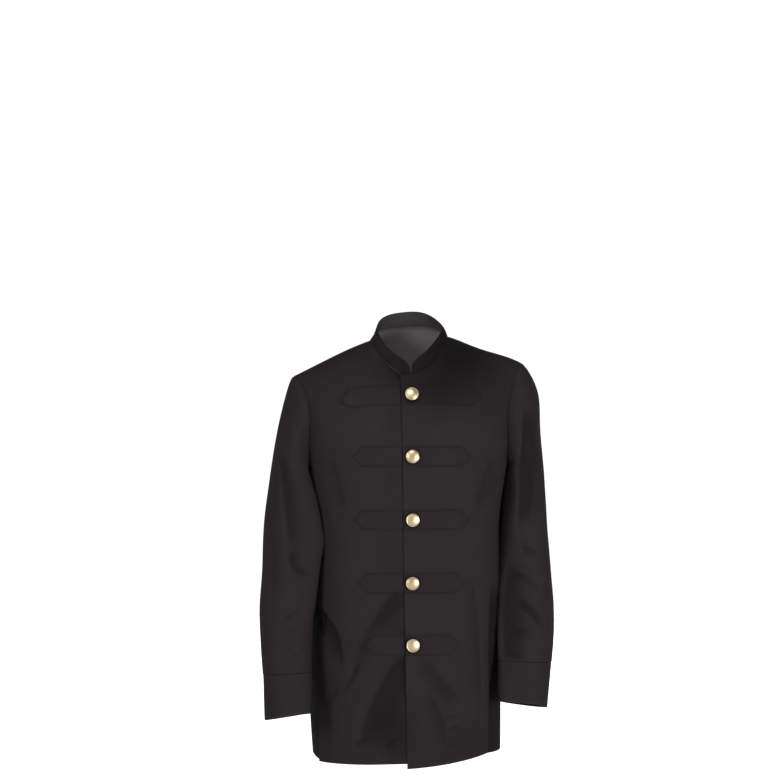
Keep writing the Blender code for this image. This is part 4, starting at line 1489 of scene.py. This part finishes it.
def add_button(number):
    """A button turned from its profile, along the front's normal at its height."""
    radius, height = (BUTTON_PROFILE[c] * MM for c in ("radius", "height"))
    around = np.arange(BUTTON_STEPS) / BUTTON_STEPS * 2 * math.pi
    ring = radius[1:-1, None]
    rim = np.broadcast_to(height[1:-1, None], (len(ring), BUTTON_STEPS))
    turned = np.stack([ring * np.cos(around), ring * np.sin(around), rim], -1).reshape(-1, 3)
    points = np.concatenate([turned, [[0, 0, height[0]]], [[0, 0, height[-1]]]])
    quads = grid_quads(len(ring), BUTTON_STEPS, True)[:, ::-1]
    first, last = np.arange(BUTTON_STEPS), np.arange(BUTTON_STEPS) + (len(ring) - 1) * BUTTON_STEPS
    top, foot = len(turned), len(turned) + 1
    faces = quads.tolist()
    faces += [[a, b, top] for a, b in zip(first, np.roll(first, -1))]
    faces += [[b, a, foot] for a, b in zip(last, np.roll(last, -1))]
    tilt_down, tilt_side = (BUTTON_TILT[c][number - 1] * DEGREE for c in ("down", "sideways"))
    seat, normal = on_front(
        "left", np.float64(0.0), np.float64(BUTTON_HEIGHTS[number - 1]), TAB_SEAT + TAB_CLOTH
    )
    out = unit(normal + np.array([math.sin(tilt_side), 0, -math.sin(tilt_down)]))
    across = unit(np.cross([0, 0, 1], out))
    placed = points @ np.stack([across, np.cross(out, across), out]) + seat
    piece = new_piece(f"jacket_button_{number}", placed, faces, pale_brass)
    off = np.linalg.norm(points[:, :2], axis=1) - GROOVE_RADIUS
    groove = np.exp(-((off / GROOVE_REACH) ** 2))
    store_mark(piece, "groove", np.where(points[:, 2] > FACE_HEIGHT, groove, BACK_DULL))
    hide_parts(f"button_{number}")


for number in range(1, 6):
    add_button(number)

# Stitching. Black thread, set a little into the cloth: round the tabs, down the left front's
# edge and round the collar.

STITCH_PITCH = 3.0 * MM
STITCH_LENGTH = 2.3 * MM
THREAD_RADIUS = 0.26 * MM
THREAD_SIDES = 6
THREAD_DARK = (0.005, 0.004, 0.0045)
THREAD_LIGHT = (0.014, 0.011, 0.012)


def even_path(points, normals, pitch):
    """The path again, with points one pitch apart."""
    run = run_of(points)
    at = np.arange(pitch / 2, run[-1] - pitch / 2, pitch)
    along = at_runs(at, run, np.gradient(points, axis=0))
    return at_runs(at, run, points), unit(at_runs(at, run, normals)), along


def stitch_mesh(paths):
    """Points and faces of stitches along the paths: each a thin spindle along its path that
    sinks into the cloth at both ends."""
    parts = zip(*(even_path(*path, STITCH_PITCH) for path in paths))
    places, ups, alongs = (np.concatenate(part) for part in parts)
    alongs = unit(alongs)
    acrosses = unit(np.cross(ups, alongs))
    ring_share = np.array([-0.5, -0.28, 0.28, 0.5])
    ring_size = np.array([0.15, 1.0, 1.0, 0.15])
    ring_sink = np.array([-0.9, 0.1, 0.1, -0.9])
    turn = np.arange(THREAD_SIDES) / THREAD_SIDES * 2 * math.pi
    along = np.repeat(ring_share * STITCH_LENGTH, THREAD_SIDES)
    across = (ring_size[:, None] * np.cos(turn) * THREAD_RADIUS).reshape(-1)
    up = ((ring_size[:, None] * np.sin(turn) + ring_sink[:, None]) * THREAD_RADIUS).reshape(-1)
    points = (
        places[:, None]
        + alongs[:, None] * along[None, :, None]
        + acrosses[:, None] * across[None, :, None]
        + ups[:, None] * up[None, :, None]
    )
    quads = grid_quads(len(ring_share), THREAD_SIDES, True)
    caps = np.arange(THREAD_SIDES)
    ends = [caps[[0, 1, 2, 3]], caps[[0, 3, 4, 5]]]
    last = (len(ring_share) - 1) * THREAD_SIDES
    ends = [e[::-1] for e in ends] + [e + last for e in ends]
    one = np.concatenate([quads, ends])
    count = len(ring_share) * THREAD_SIDES
    faces = (one[None] + (np.arange(len(places)) * count)[:, None, None]).reshape(-1, 4)
    return points.reshape(-1, 3), faces


def thread_finish():
    made, tree, shader = new_finish("black_thread", sheen=0.0, specular=0.06)
    where = tree.nodes.new("ShaderNodeTexCoord").outputs["Object"]
    twist = noise(tree, where, 3000, 1)
    link(
        tree,
        (blend_colour(tree, twist, THREAD_DARK, THREAD_LIGHT), shader.inputs["Base Color"]),
        (maths(tree, "MULTIPLY_ADD", twist, 0.2, 0.5), shader.inputs["Roughness"]),
    )
    return made


black_thread = thread_finish()
TAB_STITCH = 2.2 * MM
FRONT_STITCH = 6.0 * MM
COLLAR_STITCH = 3.0 * MM


def tab_stitch_path(number, side):
    """Round a tab, TAB_STITCH in from its edges: out along the bottom, back along the top."""
    reach = TAB_REACH[number - 1]
    inset = TAB_STITCH / (TAB_HEIGHT / 2)
    tip_inset = TAB_STITCH * math.hypot(TAB_POINT, TAB_HEIGHT / 2) / (TAB_HEIGHT / 2)
    share = np.linspace(0.01, 1, 120)
    x, _ = tab_outline(number, side, share, 0)
    start = x[0]
    x = start + (x - start) * (reach - tip_inset - start) / (reach - start)
    near_tip = np.clip(1 - (reach - tip_inset - x) / (TAB_POINT * (1 - inset)), 0, 1)
    half = TAB_HEIGHT / 2 * (1 - inset) * (1 - near_tip)
    droop = TAB_DROOP.get((number, side), 0) * near_tip
    middle = BUTTON_HEIGHTS[number - 1] + droop
    x = np.concatenate([x, x[::-1]])
    height = np.concatenate([middle - half, (middle + half)[::-1]])
    above = TAB_SEAT + TAB_CLOTH + tab_lift(number, side, x)
    return on_front(side, x, height, above)


def row_path(points, column_distance=None, row_distance=None):
    """A line on a grid of points at a distance from its first column or its last row."""
    normals = grid_normals(points, False)
    u, v = cut_lengths(points, False)
    if column_distance is not None:
        share = np.array([np.interp(column_distance, row, np.arange(len(row))) for row in u])
        low = np.floor(share).astype(int)
        part = (share - low)[:, None]
        rows = np.arange(len(points))
        pick = lambda grid: grid[rows, low] * (1 - part) + grid[rows, low + 1] * part
        return pick(points), pick(normals)
    up = v[-1, 0] - row_distance
    row = np.interp(up, v[:, 0], np.arange(len(points)))
    low, part = int(row), row - int(row)
    pick = lambda grid: grid[low] * (1 - part) + grid[low + 1] * part
    return pick(points), pick(normals)


def add_stitching(name, paths):
    points, faces = stitch_mesh(paths)
    new_piece(name, points, faces.tolist(), black_thread)


add_stitching(
    "tab_stitching",
    [tab_stitch_path(number, side) for side in SIDES for number in range(1, 6)],
)
front_path = row_path(front_points("left")[0], column_distance=FRONT_STITCH)
add_stitching("front_edge_stitching", [front_path])
collar_path = row_path(collar_points(0, 0)[:, 3:-3], row_distance=COLLAR_STITCH)
add_stitching("collar_stitching", [collar_path])

# Stage. A plain pale floor, soft light from both sides of the front, into the neck and from
# behind, and the camera level with the chest, turned a little round the jacket.

FLOOR_Z = -0.95
FLOOR_HALF = 30.0
FLOOR_POINTS = 9


def add_floor():
    """A flat square of pale board, lit from below where it is seen, as a light table is."""
    line = np.linspace(-FLOOR_HALF, FLOOR_HALF, FLOOR_POINTS)
    x, y = np.meshgrid(line, line)
    points = np.stack([x, y, np.full_like(x, FLOOR_Z)], -1).reshape(-1, 3)
    mesh = bpy.data.meshes.new("stage_floor")
    faces = grid_quads(FLOOR_POINTS, FLOOR_POINTS, False).tolist()
    mesh.from_pydata(points.tolist(), [], faces)
    board, tree, shader = new_finish("pale_board", sheen=0.0, specular=0.1)
    where = tree.nodes.new("ShaderNodeTexCoord").outputs["Object"]
    tone = blend_colour(tree, noise(tree, where, 3, 2), (0.88, 0.88, 0.88), (0.92, 0.92, 0.92))
    link(tree, (tone, shader.inputs["Base Color"]))
    shader.inputs["Roughness"].default_value = 0.95
    seen = tree.nodes.new("ShaderNodeLightPath").outputs["Is Camera Ray"]
    shader.inputs["Emission Color"].default_value = (1, 1, 1, 1)
    link(tree, (seen, shader.inputs["Emission Strength"]))
    mesh.materials.append(board)
    floor = bpy.data.objects.new("stage_floor", mesh)
    bpy.context.scene.collection.objects.link(floor)


def add_light(name, place, target, size, power):
    light = bpy.data.lights.new(name, "AREA")
    light.shape = "DISK"
    light.size = size
    light.energy = power
    lamp = bpy.data.objects.new(name, light)
    lamp.location = place
    lamp.rotation_euler = (Vector(target) - Vector(place)).to_track_quat("-Z", "Y").to_euler()
    bpy.context.scene.collection.objects.link(lamp)


def add_camera():
    """The view of the photograph: VIEW_TURN degrees round to the wearer's right of straight
    ahead, level, FRONT_DISTANCE from the jacket's front, where a pixel is PIXEL wide."""
    turn = VIEW_TURN * DEGREE
    ahead = np.array([math.sin(turn), math.cos(turn), 0])
    right = np.array([math.cos(turn), -math.sin(turn), 0])
    column = PICTURE_WIDTH / 2 - ORIGIN_COLUMN
    row = ORIGIN_ROW - PICTURE_HEIGHT / 2
    place = right * column * PIXEL - ahead * (FRONT_DISTANCE + FRONT_Y)
    place = place + np.array([0, 0, row * PIXEL])
    data = bpy.data.cameras.new("camera")
    data.sensor_fit = "VERTICAL"
    data.sensor_height = data.sensor_width = 36
    data.lens = data.sensor_height * FRONT_DISTANCE / (PICTURE_HEIGHT * PIXEL)
    camera = bpy.data.objects.new("camera", data)
    camera.location = place
    camera.rotation_euler = Vector(ahead).to_track_quat("-Z", "Y").to_euler()
    bpy.context.scene.collection.objects.link(camera)
    bpy.context.scene.camera = camera


def add_world():
    """White where the camera looks past the floor, and dim light from all round, less overhead."""
    world = bpy.data.worlds.new("studio")
    world.use_nodes = True
    tree = world.node_tree
    split = tree.nodes.new("ShaderNodeSeparateXYZ")
    where = tree.nodes.new("ShaderNodeTexCoord")
    seen = tree.nodes.new("ShaderNodeLightPath").outputs["Is Camera Ray"]
    background = tree.nodes["Background"]
    background.inputs["Color"].default_value = (1, 1, 1, 1)
    rise = tree.nodes.new("ShaderNodeMapRange")
    rise.interpolation_type = "SMOOTHSTEP"
    for socket, value in zip(rise.inputs[1:5], (*SKY_RISE, HORIZON, OVERHEAD)):
        socket.default_value = value
    link(tree, (where.outputs["Generated"], split.inputs[0]), (split.outputs[2], rise.inputs[0]))
    lit = maths(tree, "MULTIPLY", rise.outputs[0], maths(tree, "SUBTRACT", 1.0, seen))
    link(tree, (maths(tree, "MULTIPLY_ADD", seen, SKY_WHITE, lit), background.inputs["Strength"]))
    bpy.context.scene.world = world


HORIZON, OVERHEAD = 0.25, 0.05
SKY_RISE = (0.10, 0.70)
SKY_WHITE = 1.05
PICTURE_WIDTH, PICTURE_HEIGHT = 780, 781
PIXEL = 1.88 * MM
VIEW_TURN = 4.4
FRONT_DISTANCE = 4.0
FRONT_Y = 0.12
ORIGIN_COLUMN, ORIGIN_ROW = 407.5, 338
add_floor()
add_light("key", (-3.4, -3.0, 0.9), (0, 0, -0.4), 1.8, 94)
add_light("low_fill", (2.6, -3.2, -0.6), (0, 0, -0.5), 1.6, 128)
add_light("neck_light", (-0.25, -1.7, 1.6), (-0.02, 0.04, -0.05), 0.8, 17)
add_light("back_light", (0.9, 4.0, 0.5), (0, 0, -0.4), 2.0, 60)
add_world()
add_camera()
bpy.context.scene.view_settings.view_transform = "Standard"
